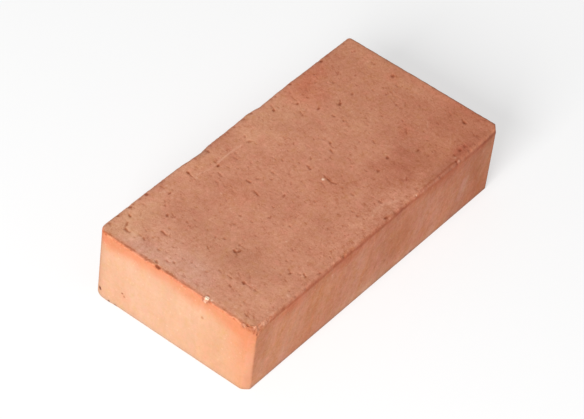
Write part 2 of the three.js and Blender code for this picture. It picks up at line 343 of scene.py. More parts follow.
# ------------------------------------------------------------------ marks in the clay
# Each mark is a short run from (x0, y0) to (x1, y1) on the upper bed, its width, and how
# strong it is: 1 is a deep dark pit, 0.2 a faint dimple.
# a mark's darkness, carried in the pit attribute, is partly darker clay and partly painted shade in its hollow
MARKS = [
    # back left part
    (-103.9, 49.8, -109.2, 47.0, 1.3, 0.62), (-109.2, 47.0, -108.8, 43.2, 1.5, 0.62),
    (-98.5, 51.7, -98.1, 52.6, 1.9, 0.80), (-98.1, 52.6, -97.4, 54.2, 1.0, 0.40),
    (-94.4, 47.2, -91.6, 49.4, 1.0, 0.30), (-106.4, 38.8, -106.7, 36.0, 1.3, 0.32),
    (-107.2, 33.6, -106.6, 34.4, 1.9, 0.68), (-105.6, 32.6, -103.2, 33.6, 1.2, 0.32),
    (-95.1, 30.2, -95.5, 28.6, 1.5, 0.92), (-95.8, 27.4, -96.0, 26.0, 1.5, 0.74),
    (-107.4, 23.0, -108.3, 21.0, 1.2, 0.50), (-106.2, 18.2, -106.7, 16.0, 1.2, 0.26),
    (-115.8, 16.9, -116.3, 16.0, 1.9, 0.72), (-118.6, 14.4, -118.9, 12.0, 2.2, 1.00),
    (-110.8, 13.6, -112.2, 11.4, 1.1, 0.50), (-108.9, 9.8, -110.2, 8.0, 1.0, 0.45),
    (-83.2, 36.5, -82.4, 37.1, 1.7, 0.85), (-79.6, 36.4, -80.8, 33.8, 1.1, 0.50),
    (-82.3, 34.2, -80.9, 32.6, 1.2, 0.55), (-77.8, 42.4, -77.1, 43.2, 1.6, 0.58),
    (-75.4, 44.6, -74.6, 45.6, 1.5, 0.38), (-68.3, 47.7, -67.3, 47.5, 1.5, 0.90),
    (-75.0, 46.4, -70.0, 47.6, 0.9, 0.25), (-66.9, 55.6, -67.0, 52.6, 1.2, 0.40),
    (-65.6, 40.2, -65.0, 38.6, 1.5, 0.34), (-69.2, 40.0, -69.0, 37.0, 1.1, 0.22),
    (-77.4, 4.7, -76.6, 5.4, 1.7, 0.58), (-86.0, 3.8, -87.3, 1.4, 1.1, 0.55),
    (-61.1, 4.4, -61.0, 3.4, 1.8, 0.42), (-74.1, 0.6, -74.4, -0.2, 1.8, 0.58),
    (-87.0, 45.0, -87.4, 43.6, 1.4, 0.30), (-98.0, 42.6, -98.5, 41.2, 1.1, 0.24),
    (-90.0, 25.0, -91.0, 23.6, 1.3, 0.24), (-76.0, 12.4, -76.6, 11.6, 1.3, 0.26),
    (-74.4, 23.2, -74.8, 21.8, 1.9, 0.26), (-83.7, 21.3, -84.3, 20.3, 1.3, 0.24),
    (-85.6, 53.2, -86.0, 52.2, 1.2, 0.34), (-102.0, 55.0, -103.0, 53.6, 1.0, 0.25),
    (-93.2, 17.0, -94.6, 14.6, 1.0, 0.22), (-111.6, 52.0, -112.6, 50.8, 1.0, 0.22),
    (-117.0, 27.6, -117.4, 25.6, 1.0, 0.25), (-70.2, 10.6, -70.6, 9.2, 1.1, 0.24),
    # back, left of the middle
    (-46.7, 51.6, -47.0, 50.6, 1.8, 1.00), (-47.0, 50.6, -47.8, 47.2, 1.2, 0.62),
    (-39.0, 51.4, -39.9, 49.8, 1.3, 0.30), (-29.9, 42.2, -29.1, 42.5, 2.0, 1.00),
    (-28.4, 45.4, -24.4, 46.6, 1.5, 0.30), (-34.2, 38.6, -34.9, 35.2, 1.3, 0.52),
    (-34.9, 35.2, -35.3, 32.2, 0.9, 0.28), (-40.6, 35.0, -41.3, 32.8, 1.5, 0.48),
    (-39.3, 40.6, -39.6, 39.4, 1.4, 0.36), (-27.6, 37.2, -25.6, 37.0, 1.3, 0.30),
    (-17.0, 41.0, -17.5, 37.2, 1.7, 0.36), (-19.0, 35.8, -17.0, 35.4, 0.8, 0.26),
    (-48.6, 20.4, -49.3, 19.2, 1.6, 0.34), (-40.2, 29.0, -40.0, 27.4, 1.6, 0.30),
    (-28.5, 25.6, -29.1, 24.2, 1.4, 0.28), (-27.1, 22.4, -27.6, 19.6, 1.5, 0.72),
    (-22.3, 18.4, -20.8, 17.8, 1.6, 0.42), (-18.1, 16.6, -20.2, 15.0, 0.7, 0.46),
    (-31.3, 13.2, -31.6, 11.6, 1.5, 0.66), (-31.9, 11.2, -32.8, 8.6, 1.3, 0.72),
    (-52.6, 5.8, -53.0, 5.2, 1.5, 0.52), (-11.4, 15.8, -11.5, 14.4, 1.7, 0.42),
    (-11.6, 14.0, -12.0, 8.0, 0.9, 0.32), (-14.8, 15.2, -15.2, 14.4, 1.3, 0.28),
    (-1.0, 23.4, -1.6, 20.6, 1.3, 0.38), (-0.8, 42.5, 0.4, 42.1, 1.7, 0.62),
    (-3.0, 9.0, -5.4, 6.8, 1.3, 0.34), (-14.2, 4.0, -14.8, 3.0, 1.4, 0.34),
    (-9.8, 2.2, -11.6, 0.8, 1.4, 0.42), (-24.0, 2.4, -24.2, 1.6, 1.2, 0.32),
    (-40.3, 4.4, -41.7, 2.2, 0.9, 0.36), (-12.4, 31.4, -13.8, 29.6, 1.2, 0.26),
    (-4.0, 33.2, -5.2, 31.6, 1.1, 0.26), (-9.0, 28.6, -10.4, 27.6, 1.2, 0.24),
    (-40.0, 22.4, -40.4, 20.6, 1.3, 0.28), (-52.0, 17.0, -52.8, 15.8, 1.2, 0.24),
    (-20.6, 1.0, -21.6, 0.2, 1.2, 0.38), (-58.2, 34.0, -58.8, 32.6, 1.2, 0.24),
    (-16.4, 29.6, -18.2, 27.8, 1.0, 0.22), (-22.0, 30.6, -23.0, 29.4, 1.0, 0.20),
    # back, right of the middle
    (32.5, 49.4, 31.8, 49.0, 1.9, 1.00), (32.7, 50.2, 34.6, 53.6, 1.1, 0.52),
    (47.4, 42.9, 46.8, 42.6, 1.6, 0.90), (45.2, 45.0, 45.6, 43.4, 1.4, 0.40),
    (48.2, 44.0, 49.6, 49.0, 0.9, 0.42), (49.6, 49.0, 52.4, 53.4, 0.8, 0.24),
    (20.7, 49.2, 20.3, 48.2, 1.4, 0.40), (1.8, 47.6, 1.0, 46.8, 1.6, 0.56),
    (42.2, 36.8, 41.6, 34.4, 1.7, 0.40), (46.8, 36.0, 46.0, 35.2, 1.0, 0.34),
    (52.8, 30.8, 51.8, 30.3, 1.8, 0.84), (28.7, 31.0, 28.3, 30.6, 1.0, 0.34),
    (18.4, 22.6, 16.8, 21.4, 1.2, 0.54), (10.6, 21.4, 9.6, 20.6, 1.0, 0.44),
    (40.9, 16.2, 40.0, 15.6, 1.6, 0.34), (29.7, 16.4, 28.7, 15.2, 1.2, 0.50),
    (21.8, 16.6, 20.2, 13.4, 1.2, 0.34), (32.8, 12.6, 32.6, 11.2, 1.4, 0.32),
    (33.7, 6.9, 32.9, 6.0, 1.6, 0.78), (34.4, 8.4, 33.9, 7.4, 1.0, 0.40),
    (15.4, 7.2, 13.7, 5.8, 1.4, 0.58), (6.9, 9.4, 5.8, 8.4, 1.4, 0.46),
    (2.7, 10.8, 2.1, 7.8, 1.2, 0.42), (7.9, 3.8, 7.2, 0.8, 1.7, 0.72),
    (28.6, 2.6, 27.6, 0.2, 1.6, 0.68), (53.6, 20.6, 53.9, 19.0, 1.7, 0.56),
    (55.1, 13.2, 54.4, 12.8, 1.3, 0.54), (49.3, 7.2, 48.8, 5.0, 1.3, 0.34),
    (50.8, 26.2, 50.2, 24.2, 1.2, 0.30), (42.9, 22.4, 41.9, 20.6, 1.2, 0.30),
    (4.8, 30.0, 4.2, 29.0, 1.2, 0.24), (12.4, 27.2, 11.4, 26.2, 1.2, 0.24),
    (8.8, 49.4, 9.6, 49.6, 0.9, 0.28), (14.0, 50.0, 15.2, 50.6, 0.9, 0.28),
    (57.8, 3.4, 57.4, 2.0, 1.1, 0.24), (24.4, 25.4, 23.6, 24.4, 1.1, 0.22),
    (46.2, 4.4, 45.8, 2.8, 1.2, 0.24), (31.8, 38.0, 30.8, 37.2, 1.0, 0.20),
    # back right part
    (62.1, 48.0, 61.4, 46.8, 1.2, 0.34), (67.0, 49.2, 66.0, 49.0, 1.1, 0.30),
    (64.5, 23.5, 66.2, 24.2, 1.9, 0.92), (66.2, 24.2, 68.6, 26.4, 1.1, 0.62),
    (68.6, 26.4, 69.8, 29.2, 0.7, 0.26), (78.0, 39.0, 77.5, 38.4, 1.8, 0.54),
    (78.2, 24.1, 77.3, 23.8, 1.6, 0.58), (78.2, 35.0, 77.8, 34.2, 1.6, 0.26),
    (87.6, 42.4, 85.8, 41.6, 1.6, 0.56), (86.2, 43.2, 87.6, 45.2, 0.9, 0.30),
    (86.8, 32.6, 90.0, 33.2, 0.9, 0.32), (92.2, 33.0, 93.8, 33.4, 1.3, 0.50),
    (86.6, 29.0, 87.2, 26.6, 1.0, 0.28), (98.0, 30.6, 99.2, 31.4, 1.2, 0.30),
    (104.6, 36.6, 106.6, 37.6, 0.8, 0.36), (104.4, 33.6, 104.6, 26.2, 0.8, 0.30),
    (110.0, 33.6, 109.5, 30.8, 1.3, 0.52), (109.1, 16.6, 108.5, 15.9, 2.4, 0.80),
    (96.8, 14.3, 96.1, 13.6, 1.1, 0.46), (98.8, 12.0, 98.2, 11.0, 1.2, 0.44),
    (92.2, 8.6, 94.0, 8.3, 1.5, 0.52), (104.7, 10.4, 103.3, 7.8, 1.3, 0.44),
    (75.9, 7.2, 75.4, 6.8, 1.7, 0.50), (66.7, 4.5, 66.3, 4.1, 1.6, 0.38),
    (94.8, 4.4, 94.2, 1.8, 1.9, 0.24), (110.1, 48.0, 110.2, 46.0, 1.0, 0.26),
    (84.2, 38.0, 83.6, 37.4, 1.4, 0.28), (72.4, 43.6, 71.8, 43.0, 1.3, 0.26),
    (83.6, 17.6, 83.0, 16.6, 1.2, 0.28), (86.6, 25.0, 87.0, 24.0, 1.2, 0.28),
    (72.4, 21.0, 70.0, 18.6, 0.8, 0.26), (62.6, 1.0, 62.0, 0.2, 1.2, 0.30),
    (90.6, 0.8, 89.4, 0.2, 1.4, 0.30), (113.0, 8.0, 112.6, 6.8, 1.0, 0.22),
    # front left part
    (-112.2, -10.6, -115.3, -13.6, 0.9, 0.42), (-77.6, -9.6, -78.4, -11.0, 1.7, 1.00),
    (-76.9, -12.2, -75.8, -12.8, 1.7, 0.95), (-78.6, -12.4, -79.6, -13.6, 1.3, 0.55),
    (-75.4, -9.8, -74.8, -11.6, 1.1, 0.50), (-71.8, -9.0, -72.6, -9.9, 1.5, 0.60),
    (-72.6, -10.2, -72.7, -13.4, 0.9, 0.42), (-96.1, -14.2, -96.8, -15.4, 1.3, 0.32),
    (-96.0, -20.2, -96.4, -21.4, 1.3, 0.56), (-96.2, -22.6, -96.7, -23.6, 1.2, 0.56),
    (-100.9, -25.8, -101.7, -27.2, 1.3, 0.82), (-99.4, -24.8, -100.9, -25.8, 0.8, 0.42),
    (-90.1, -23.6, -90.6, -24.2, 1.2, 0.54), (-94.1, -30.2, -94.5, -31.1, 1.9, 0.95),
    (-94.3, -32.0, -94.3, -36.6, 0.9, 0.42), (-94.1, -38.4, -94.3, -39.6, 1.5, 0.62),
    (-94.3, -40.4, -94.2, -43.6, 0.8, 0.26), (-88.9, -30.4, -88.0, -29.8, 2.2, 0.34),
    (-87.6, -29.6, -85.4, -27.8, 1.0, 0.30), (-108.8, -29.0, -109.4, -29.7, 1.1, 0.40),
    (-102.4, -33.8, -103.4, -35.4, 0.9, 0.40), (-103.4, -35.6, -103.0, -37.2, 0.8, 0.28),
    (-105.3, -40.2, -106.3, -41.0, 1.3, 0.26), (-86.6, -40.4, -88.4, -41.8, 0.7, 0.34),
    (-97.0, -41.6, -100.4, -43.8, 0.7, 0.28), (-112.4, -46.8, -113.0, -49.0, 1.5, 0.66),
    (-110.6, -51.2, -111.7, -52.8, 1.2, 0.52), (-113.2, -50.2, -113.6, -51.6, 1.0, 0.34),
    (-83.2, -34.8, -83.9, -36.0, 1.3, 0.26), (-74.0, -40.4, -74.5, -41.8, 1.5, 0.30),
    (-67.8, -42.6, -68.3, -43.8, 1.5, 0.50), (-69.9, -44.8, -68.9, -45.6, 1.6, 0.80),
    (-66.1, -49.5, -66.5, -50.2, 1.2, 0.46), (-64.4, -51.0, -65.8, -53.4, 1.3, 0.80),
    (-59.2, -31.6, -59.6, -32.8, 1.3, 0.28), (-107.0, -54.6, -107.8, -55.8, 1.0, 0.26),
    (-88.5, -53.8, -89.0, -54.6, 1.3, 0.26), (-83.0, -44.0, -83.2, -41.0, 1.6, 0.18),
    (-103.6, -3.6, -104.6, -5.0, 1.0, 0.22), (-67.4, -9.0, -67.8, -9.6, 1.0, 0.26),
    (-64.4, -16.0, -65.4, -17.6, 0.9, 0.20), (-71.6, -25.0, -75.0, -27.0, 0.7, 0.22),
    (-113.0, -2.0, -114.4, -3.8, 1.1, 0.34), (-116.4, -33.0, -117.2, -34.0, 1.2, 0.26),
    # front, left of the middle
    (-23.2, -2.6, -21.2, -2.2, 1.5, 0.66), (-43.0, -7.0, -42.3, -7.9, 1.2, 0.72),
    (-42.3, -7.9, -40.8, -7.6, 1.2, 0.72), (-47.0, -7.6, -47.6, -8.2, 1.1, 0.34),
    (-40.6, -17.2, -41.4, -17.8, 1.7, 0.26), (-39.0, -20.4, -39.6, -21.0, 1.7, 0.24),
    (-30.7, -18.4, -31.4, -19.0, 1.3, 0.44), (-53.2, -33.2, -54.0, -34.8, 1.4, 0.52),
    (-51.2, -34.2, -50.4, -34.4, 1.1, 0.46), (-53.0, -23.8, -53.4, -24.4, 1.1, 0.32),
    (-44.0, -31.8, -44.5, -32.6, 1.2, 0.26), (-58.6, -57.0, -57.0, -57.6, 1.5, 0.52),
    (-44.2, -52.4, -44.8, -53.8, 1.2, 0.30), (-49.6, -54.0, -50.6, -55.0, 1.2, 0.30),
    (-15.6, -45.0, -16.6, -45.4, 1.5, 0.34), (-3.4, -46.6, -4.2, -47.2, 1.1, 0.36),
    (-2.6, -49.8, -3.4, -50.6, 1.2, 0.34), (-4.6, -1.6, -5.4, -2.8, 1.3, 0.44),
    (-8.8, -3.0, -11.4, -3.4, 0.9, 0.30), (-6.0, -5.4, -7.0, -6.8, 1.2, 0.36),
    (-10.0, -34.0, -10.6, -35.4, 1.4, 0.24), (-19.0, -35.4, -19.6, -36.8, 1.9, 0.20),
    (-31.4, -45.6, -32.4, -48.0, 1.3, 0.24), (-48.0, -44.6, -50.0, -47.0, 1.0, 0.26),
    (-33.6, -5.2, -34.2, -5.8, 1.3, 0.26), (-12.0, -7.4, -12.6, -8.0, 1.0, 0.26),
    (-8.0, -38.0, -9.0, -38.6, 1.1, 0.24), (-24.0, -53.4, -24.8, -54.0, 1.1, 0.24),
    # front, right of the middle
    (8.2, -9.2, 7.4, -12.6, 1.2, 0.72), (7.4, -12.6, 6.8, -15.0, 1.2, 0.66),
    (6.8, -15.0, 7.8, -18.0, 1.2, 0.72), (7.8, -18.0, 9.4, -18.4, 0.8, 0.34),
    (8.6, -6.6, 8.4, -8.6, 0.8, 0.34), (2.6, -11.0, 2.0, -12.8, 1.4, 0.46),
    (1.6, -13.4, 0.6, -15.6, 1.1, 0.34), (11.9, -12.4, 11.6, -13.8, 1.1, 0.36),
    (34.9, -29.3, 34.4, -29.7, 1.8, 0.72), (47.9, -26.2, 47.5, -26.6, 2.1, 1.00),
    (48.0, -22.4, 50.4, -21.2, 0.8, 0.40), (47.6, -31.6, 47.0, -32.0, 1.5, 0.38),
    (53.4, -11.0, 52.2, -13.2, 1.3, 0.54), (52.0, -14.0, 51.4, -15.0, 0.8, 0.30),
    (47.6, -4.8, 46.0, -6.0, 1.1, 0.30), (57.1, -10.0, 56.8, -12.4, 1.0, 0.28),
    (7.6, -30.2, 7.2, -31.2, 1.4, 0.56), (8.4, -29.2, 7.9, -30.0, 0.8, 0.30),
    (42.0, -45.4, 40.3, -46.6, 1.1, 0.62), (33.6, -36.8, 32.6, -37.6, 1.5, 0.32),
    (17.0, -38.6, 16.8, -39.6, 1.3, 0.30), (14.6, -45.6, 14.0, -47.8, 1.9, 0.52),
    (13.5, -36.0, 14.4, -45.0, 0.8, 0.26), (10.6, -45.6, 10.0, -46.4, 1.4, 0.30),
    (59.0, -41.4, 58.2, -41.6, 1.5, 0.48), (5.4, -57.4, 6.8, -57.6, 1.9, 0.90),
    (7.8, -57.8, 8.6, -57.8, 1.1, 0.50), (21.6, -57.2, 22.4, -57.4, 1.3, 0.38),
    (38.2, -53.0, 37.8, -56.0, 0.9, 0.42), (22.6, -34.6, 24.0, -35.8, 0.9, 0.34),
    (11.0, -24.4, 10.0, -24.8, 1.1, 0.30), (26.6, -24.2, 26.0, -24.6, 1.2, 0.26),
    (33.6, -21.8, 32.8, -22.4, 1.0, 0.28), (21.4, -1.2, 20.8, -1.8, 1.1, 0.42),
    (24.2, -0.8, 23.4, -1.6, 1.4, 0.42), (14.0, -19.6, 13.4, -20.4, 1.0, 0.24),
    (12.6, -34.6, 12.3, -36.0, 1.1, 0.24), (23.4, -21.6, 22.8, -22.6, 1.0, 0.22),
    (44.4, -16.4, 45.6, -15.6, 0.8, 0.24), (35.0, -25.4, 34.4, -26.4, 1.1, 0.26),
    (29.4, -39.0, 28.6, -40.0, 1.0, 0.22), (50.0, -39.4, 49.0, -40.2, 0.9, 0.22),
    # front right part
    (66.6, -35.8, 66.0, -36.4, 1.7, 0.74), (65.2, -36.0, 64.2, -35.6, 1.3, 0.55),
    (66.6, -36.8, 66.2, -38.0, 1.1, 0.50), (72.4, -22.4, 74.0, -20.8, 1.1, 0.50),
    (74.0, -20.8, 76.6, -19.2, 1.3, 0.46), (86.4, -27.5, 85.6, -28.3, 1.1, 0.48),
    (106.4, -41.0, 106.0, -42.2, 2.5, 0.92), (107.8, -38.6, 107.0, -40.0, 1.3, 0.60),
    (106.0, -31.5, 105.4, -31.9, 1.4, 0.50), (101.6, -30.3, 100.2, -30.8, 1.2, 0.30),
    (84.8, -53.9, 83.8, -54.5, 2.2, 0.66), (89.4, -53.9, 88.4, -54.8, 1.7, 0.64),
    (78.5, -54.2, 77.9, -54.9, 1.5, 0.60), (67.7, -51.2, 67.2, -51.9, 1.3, 0.32),
    (102.8, -49.0, 101.2, -52.6, 0.9, 0.46), (101.2, -52.6, 100.4, -57.6, 0.9, 0.42),
    (99.0, -12.6, 98.6, -13.1, 1.8, 0.46), (98.4, -15.6, 97.4, -16.4, 1.4, 0.30),
    (75.1, -1.0, 74.8, -2.2, 1.5, 0.46), (89.4, -0.9, 89.0, -1.8, 1.5, 0.48),
    (95.0, -4.4, 93.0, -5.6, 1.3, 0.50), (106.2, -4.6, 105.8, -5.4, 1.5, 0.30),
    (76.8, -16.2, 75.6, -16.8, 1.3, 0.28), (67.4, -42.6, 65.6, -43.6, 1.1, 0.36),
    (73.4, -43.2, 72.8, -44.6, 1.4, 0.30), (84.6, -43.6, 83.6, -44.8, 1.2, 0.26),
    (107.8, -22.0, 106.4, -25.4, 0.7, 0.28), (64.4, -33.0, 65.4, -33.2, 1.0, 0.28),
    (67.6, -32.6, 68.2, -33.4, 1.0, 0.28), (102.6, -43.0, 102.2, -43.6, 1.1, 0.28),
    (66.8, -17.2, 67.6, -16.6, 0.9, 0.26), (61.4, -14.6, 60.6, -15.0, 1.1, 0.26),
    (72.6, -24.4, 72.0, -25.4, 1.1, 0.26), (80.6, -34.8, 81.0, -35.6, 1.0, 0.22),
    (103.8, -52.0, 104.6, -53.6, 0.8, 0.20), (77.0, -46.0, 75.8, -46.6, 1.1, 0.22),
    (110.6, -26.6, 109.6, -27.2, 1.1, 0.22), (86.0, -48.6, 85.0, -49.0, 1.2, 0.22),
    # between them
    (-108.2, 47.5, -109.0, 44.5, 1.7, 0.85), (-103.4, 49.8, -105.4, 48.6, 1.5, 0.75),
    (-24.0, 55.1, -24.4, 53.7, 1.6, 0.75), (7.7, -30.1, 7.3, -31.7, 1.5, 0.60),
    (-107.7, 22.9, -108.1, 21.1, 1.4, 0.62), (-111.4, 13.1, -111.8, 11.3, 1.3, 0.65),
    (-115.8, -21.7, -116.2, -22.9, 1.3, 0.50), (-11.1, 15.6, -11.5, 14.4, 1.7, 0.60),
    (89.8, -0.9, 89.4, -2.3, 1.3, 0.50), (54.9, 13.3, 54.7, 12.5, 1.4, 0.65),
    (-76.8, 56.0, -77.2, 54.8, 1.4, 0.50), (-106.3, 37.9, -106.7, 36.1, 1.3, 0.50),
    (-96.1, -13.8, -96.5, -15.2, 1.3, 0.50), (-103.9, 33.3, -105.5, 32.7, 1.3, 0.50),
    (62.6, 0.7, 62.4, -0.3, 1.3, 0.48), (47.1, -5.1, 46.9, -6.1, 1.3, 0.48),
    (-26.3, 37.5, -26.7, 36.1, 1.3, 0.48), (-39.2, 40.7, -39.4, 39.7, 1.4, 0.48),
    (2.6, 10.9, 2.2, 9.1, 1.2, 0.45), (-114.0, -0.9, -114.4, -2.3, 1.2, 0.45),
    (96.4, 14.2, 96.2, 13.2, 1.2, 0.50), (116.1, -47.3, 117.1, -49.9, 1.1, 0.45),
    (103.6, 9.3, 103.2, 7.9, 1.3, 0.50), (-66.3, -49.0, -66.7, -50.2, 1.3, 0.50),
    (117.2, -39.1, 116.8, -40.5, 1.2, 0.42), (-74.0, -41.1, -74.4, -42.3, 1.3, 0.45),
    (-64.2, 49.0, -64.4, 48.2, 1.4, 0.45), (-109.0, -29.0, -109.4, -30.2, 1.3, 0.42),
    (-85.6, 53.0, -86.0, 51.8, 1.3, 0.42), (-106.3, 17.8, -106.7, 16.2, 1.2, 0.42),
    (-50.0, -54.6, -50.2, -55.4, 1.2, 0.40), (-72.3, -12.8, -72.5, -13.8, 1.2, 0.45),
    (37.8, -56.3, 37.6, -56.9, 1.3, 0.40), (72.8, -43.8, 72.6, -44.8, 1.2, 0.40),
    (-105.7, -40.2, -106.1, -41.4, 1.3, 0.42), (-102.8, -34.2, -103.2, -35.6, 1.3, 0.42),
    (-10.6, 1.5, -10.8, 0.7, 1.2, 0.40), (41.0, 16.2, 40.8, 15.4, 1.3, 0.40),
    (10.1, 21.4, 9.7, 20.2, 1.1, 0.42), (-59.6, -10.7, -59.8, -11.7, 1.3, 0.42),
    (66.9, -42.8, 66.7, -43.8, 1.2, 0.40), (-1.3, 22.9, -1.7, 21.5, 1.2, 0.42),
    (-86.7, 44.4, -86.9, 43.4, 1.2, 0.40), (-48.9, 20.1, -49.1, 19.1, 1.3, 0.40),
    (51.6, 53.1, 51.2, 51.7, 1.1, 0.40), (116.7, -31.1, 116.5, -32.1, 1.2, 0.38),
    (-77.6, -53.6, -77.8, -54.4, 1.2, 0.38), (21.5, 14.9, 21.1, 13.7, 1.1, 0.38),
    (-91.5, 55.1, -91.7, 54.1, 1.3, 0.45), (-112.5, 55.4, -112.7, 54.6, 1.2, 0.45),
]

# Pale grains and chips on the upper bed and its rim: x, y, z, size, strength.
PALE = [
    (5.3, -10.3, 52.0, 1.20, 0.80), (-118.3, -23.3, 51.7, 1.8, 1.00), (-117.6, -26.3, 51.9, 1.3, 0.60),
    (-119.9, -22.8, 51.0, 0.9, 0.55), (-110.6, -59.0, 51.2, 1.6, 0.30), (-117.6, -57.4, 51.4, 0.9, 0.36),
    (-117.4, -59.4, 49.6, 0.9, 0.30), (-119.6, -51.8, 51.6, 0.8, 0.34), (-118.9, -28.4, 51.8, 0.9, 0.26),
    (34.6, -58.7, 51.2, 0.9, 0.80), (76.9, -59.1, 51.1, 1.3, 0.38),
    (76.6, -56.2, 52.0, 1.2, 0.32), (-46.8, 25.7, 52.0, 0.8, 0.50), (88.5, 12.4, 52.0, 1.2, 0.26),
    (-84.0, -56.4, 51.8, 1.2, 0.22), (-108.8, -58.9, 51.0, 1.5, 0.30), (-110.4, -59.3, 49.8, 1.1, 0.16),
    (-117.2, -57.2, 51.8, 1.2, 0.24), (-119.5, -51.5, 51.8, 0.9, 0.24), (-119.4, -43.4, 51.9, 0.8, 0.18),
    (-115.8, -59.2, 49.8, 1.1, 0.14), (49.2, -24.0, 52.0, 1.0, 0.36), (-107.8, 44.8, 52.0, 1.0, 0.30),
    (-106.6, 46.8, 52.0, 0.8, 0.22), (-110.9, 9.2, 52.0, 0.7, 0.24), (8.0, -59.2, 51.2, 1.0, 0.30),
    (86.8, -27.4, 52.0, 0.7, 0.26), (40.9, -44.5, 52.0, 0.9, 0.26), (-119.4, 37.0, 51.4, 0.8, 0.30),
    (-101.0, -57.6, 51.7, 1.2, 0.26), (-98.0, -56.8, 51.8, 0.8, 0.22), (45.4, 36.6, 52.0, 0.7, 0.2),
    (-95.6, 1.2, 52.0, 0.7, 0.2), (-66.8, 46.4, 52.0, 0.8, 0.2), (-69.2, 50.8, 52.0, 1.2, 0.46),
    (-71.2, 52.0, 52.0, 1.0, 0.40), (-46.6, 25.6, 52.0, 1.0, 0.32), (1.8, -50.5, 52.0, 1.1, 0.44),
    (-84.2, -55.4, 52.0, 1.3, 0.42), (-47.3, 54.4, 52.0, 1.0, 0.28), (-50.8, -27.3, 52.0, 1.0, 0.40),
    (-46.5, 45.0, 52.0, 1.0, 0.38), (45.0, 37.1, 52.0, 1.0, 0.38), (-64.2, 53.3, 52.0, 1.0, 0.36),
    (-99.5, -30.4, 52.0, 1.0, 0.36), (-92.3, -35.6, 52.0, 0.9, 0.34), (-1.5, 7.7, 52.0, 0.9, 0.36), (-41.3, 53.2, 52.0, 0.9, 0.34), (-99.3, 53.2, 52.0, 0.9, 0.34),
    (-45.9, -59.3, 42.6, 1.4, 0.36), (-50.5, -59.3, 41.9, 1.5, 0.34),
    (29.0, -59.3, 42.0, 1.3, 0.20), (17.0, -59.3, 42.0, 1.3, 0.20), (75.8, -59.0, 22.6, 1.4, 0.18),
]

# Light rubbed scratches on the upper bed.
SCRATCHES = [
    (-44.5, 46.4, -36.0, 43.9, 1.1, 0.50), (-36.0, 43.9, -30.5, 43.6, 1.0, 0.30),
    (-27.0, 44.2, -17.0, 44.3, 1.1, 0.70), (-17.0, 44.3, -6.5, 43.9, 1.0, 0.60),
    (7.0, 24.4, 10.2, 21.4, 0.7, 0.45), (4.0, -48.5, 14.0, -49.6, 2.2, 0.30),
    (14.0, -49.6, 22.0, -53.6, 2.0, 0.34), (86.0, -28.2, 90.6, -24.8, 0.8, 0.30),
    (84.0, -47.0, 90.0, -43.2, 0.8, 0.22), (19.0, -50.6, 24.0, -53.2, 1.2, 0.24),
]


def run_distance(x, y, x0, y0, x1, y1):
    dx, dy = x1 - x0, y1 - y0
    l2 = max(dx * dx + dy * dy, 1e-9)
    t = np.clip(((x - x0) * dx + (y - y0) * dy) / l2, 0.0, 1.0)
    return np.hypot(x - (x0 + t * dx), y - (y0 + t * dy))


def lay_marks(points, marks, depth, dark, seed, deepest=0.42):
    """Deepens depth and dark (both in place) where the marks lie, as the deepest of them."""
    x, y = points[:, 0], points[:, 1]
    wobble = noise(points, 1.9, seed)
    wobble2 = noise(points, 1.05, seed + 5)
    for x0, y0, x1, y1, width, strength in marks:
        reach = width * 1.4 + 0.8
        near = np.nonzero(
            (x > min(x0, x1) - reach) & (x < max(x0, x1) + reach)
            & (y > min(y0, y1) - reach) & (y < max(y0, y1) + reach)
        )[0]
        if not len(near):
            continue
        d = run_distance(x[near], y[near], x0, y0, x1, y1)
        r = d / (width * 0.5) + 0.38 * wobble[near] + 0.24 * wobble2[near]
        full = deepest * min(1.0, 0.25 + 0.4 * width) * (0.12 + 0.88 * strength)
        depth[near] = np.maximum(depth[near], full * (1.0 - smooth(0.2, 1.4, r)))
        dark[near] = np.maximum(dark[near], strength * (1.0 - smooth(0.3, 1.6, r)))


random = np.random.default_rng(4127)


def scattered(n, hx, hy, lean, widths, strengths, longest):
    """Small marks strewn over a bed, most of them drawn out along the wire's travel."""
    made = []
    for _ in range(n):
        x, y = random.uniform(-hx, hx), random.uniform(-hy, hy)
        angle = math.radians(lean + random.normal(0, 24))
        length = min(abs(random.normal(0, 0.5)), 1.0) * longest + 0.15
        cx, cy = math.cos(angle) * length / 2, math.sin(angle) * length / 2
        made.append((
            x - cx, y - cy, x + cx, y + cy, random.uniform(*widths),
            strengths[0] + (strengths[1] - strengths[0]) * random.random() ** 2.2,
        ))
    return made


nz = N[:, 2]
on_top = smooth(0.15, 0.85, nz)
on_under = smooth(0.15, 0.85, -nz)
on_side = 1.0 - on_top - on_under

depth = np.zeros(len(P))
dark = np.zeros(len(P))
pale = np.zeros(len(P))

top = np.nonzero(nz > 0.1)[0]
d, k = np.zeros(len(top)), np.zeros(len(top))
lay_marks(P[top], MARKS + scattered(260, 117, 57, 76, (0.7, 1.3), (0.05, 0.26), 3.2), d, k, 31)
depth[top] += d * on_top[top]
dark[top] = k * smooth(0.1, 0.5, nz[top])

under = np.nonzero(nz < -0.1)[0]
d, k = np.zeros(len(under)), np.zeros(len(under))
lay_marks(
    P[under],
    scattered(130, 116, 56, 104, (1.2, 2.4), (0.25, 1.0), 4.6)
    + scattered(200, 117, 57, 104, (0.8, 1.6), (0.08, 0.4), 3.4),
    d, k, 53,
)
depth[under] += d * on_under[under]
dark[under] = k * smooth(0.1, 0.5, -nz[under])

# the beds' relief: slow undulation, drag along the wire's travel, and grain
relief = (
    0.16 * fbm(P, 46.0, 3, 2)
    + 0.06 * fbm(P, 13.0, 7, 2, stretch=(0.8, 1.7, 1.0))
    + 0.036 * noise(P, 4.6, 11, (0.8, 1.6, 1.0))
    + 0.024 * noise(P, 2.4, 13, (0.85, 1.4, 1.0))
    + 0.012 * noise(P, 1.6, 19)
)
# the sides keep the die's skin: nearly flat, with long soft ribs along the way the clay came
skin = 0.05 * fbm(P, 38.0, 23, 2) + 0.02 * noise(P, 6.0, 29, (1.0, 1.0, 3.5)) + 0.008 * noise(P, 2.6, 37)

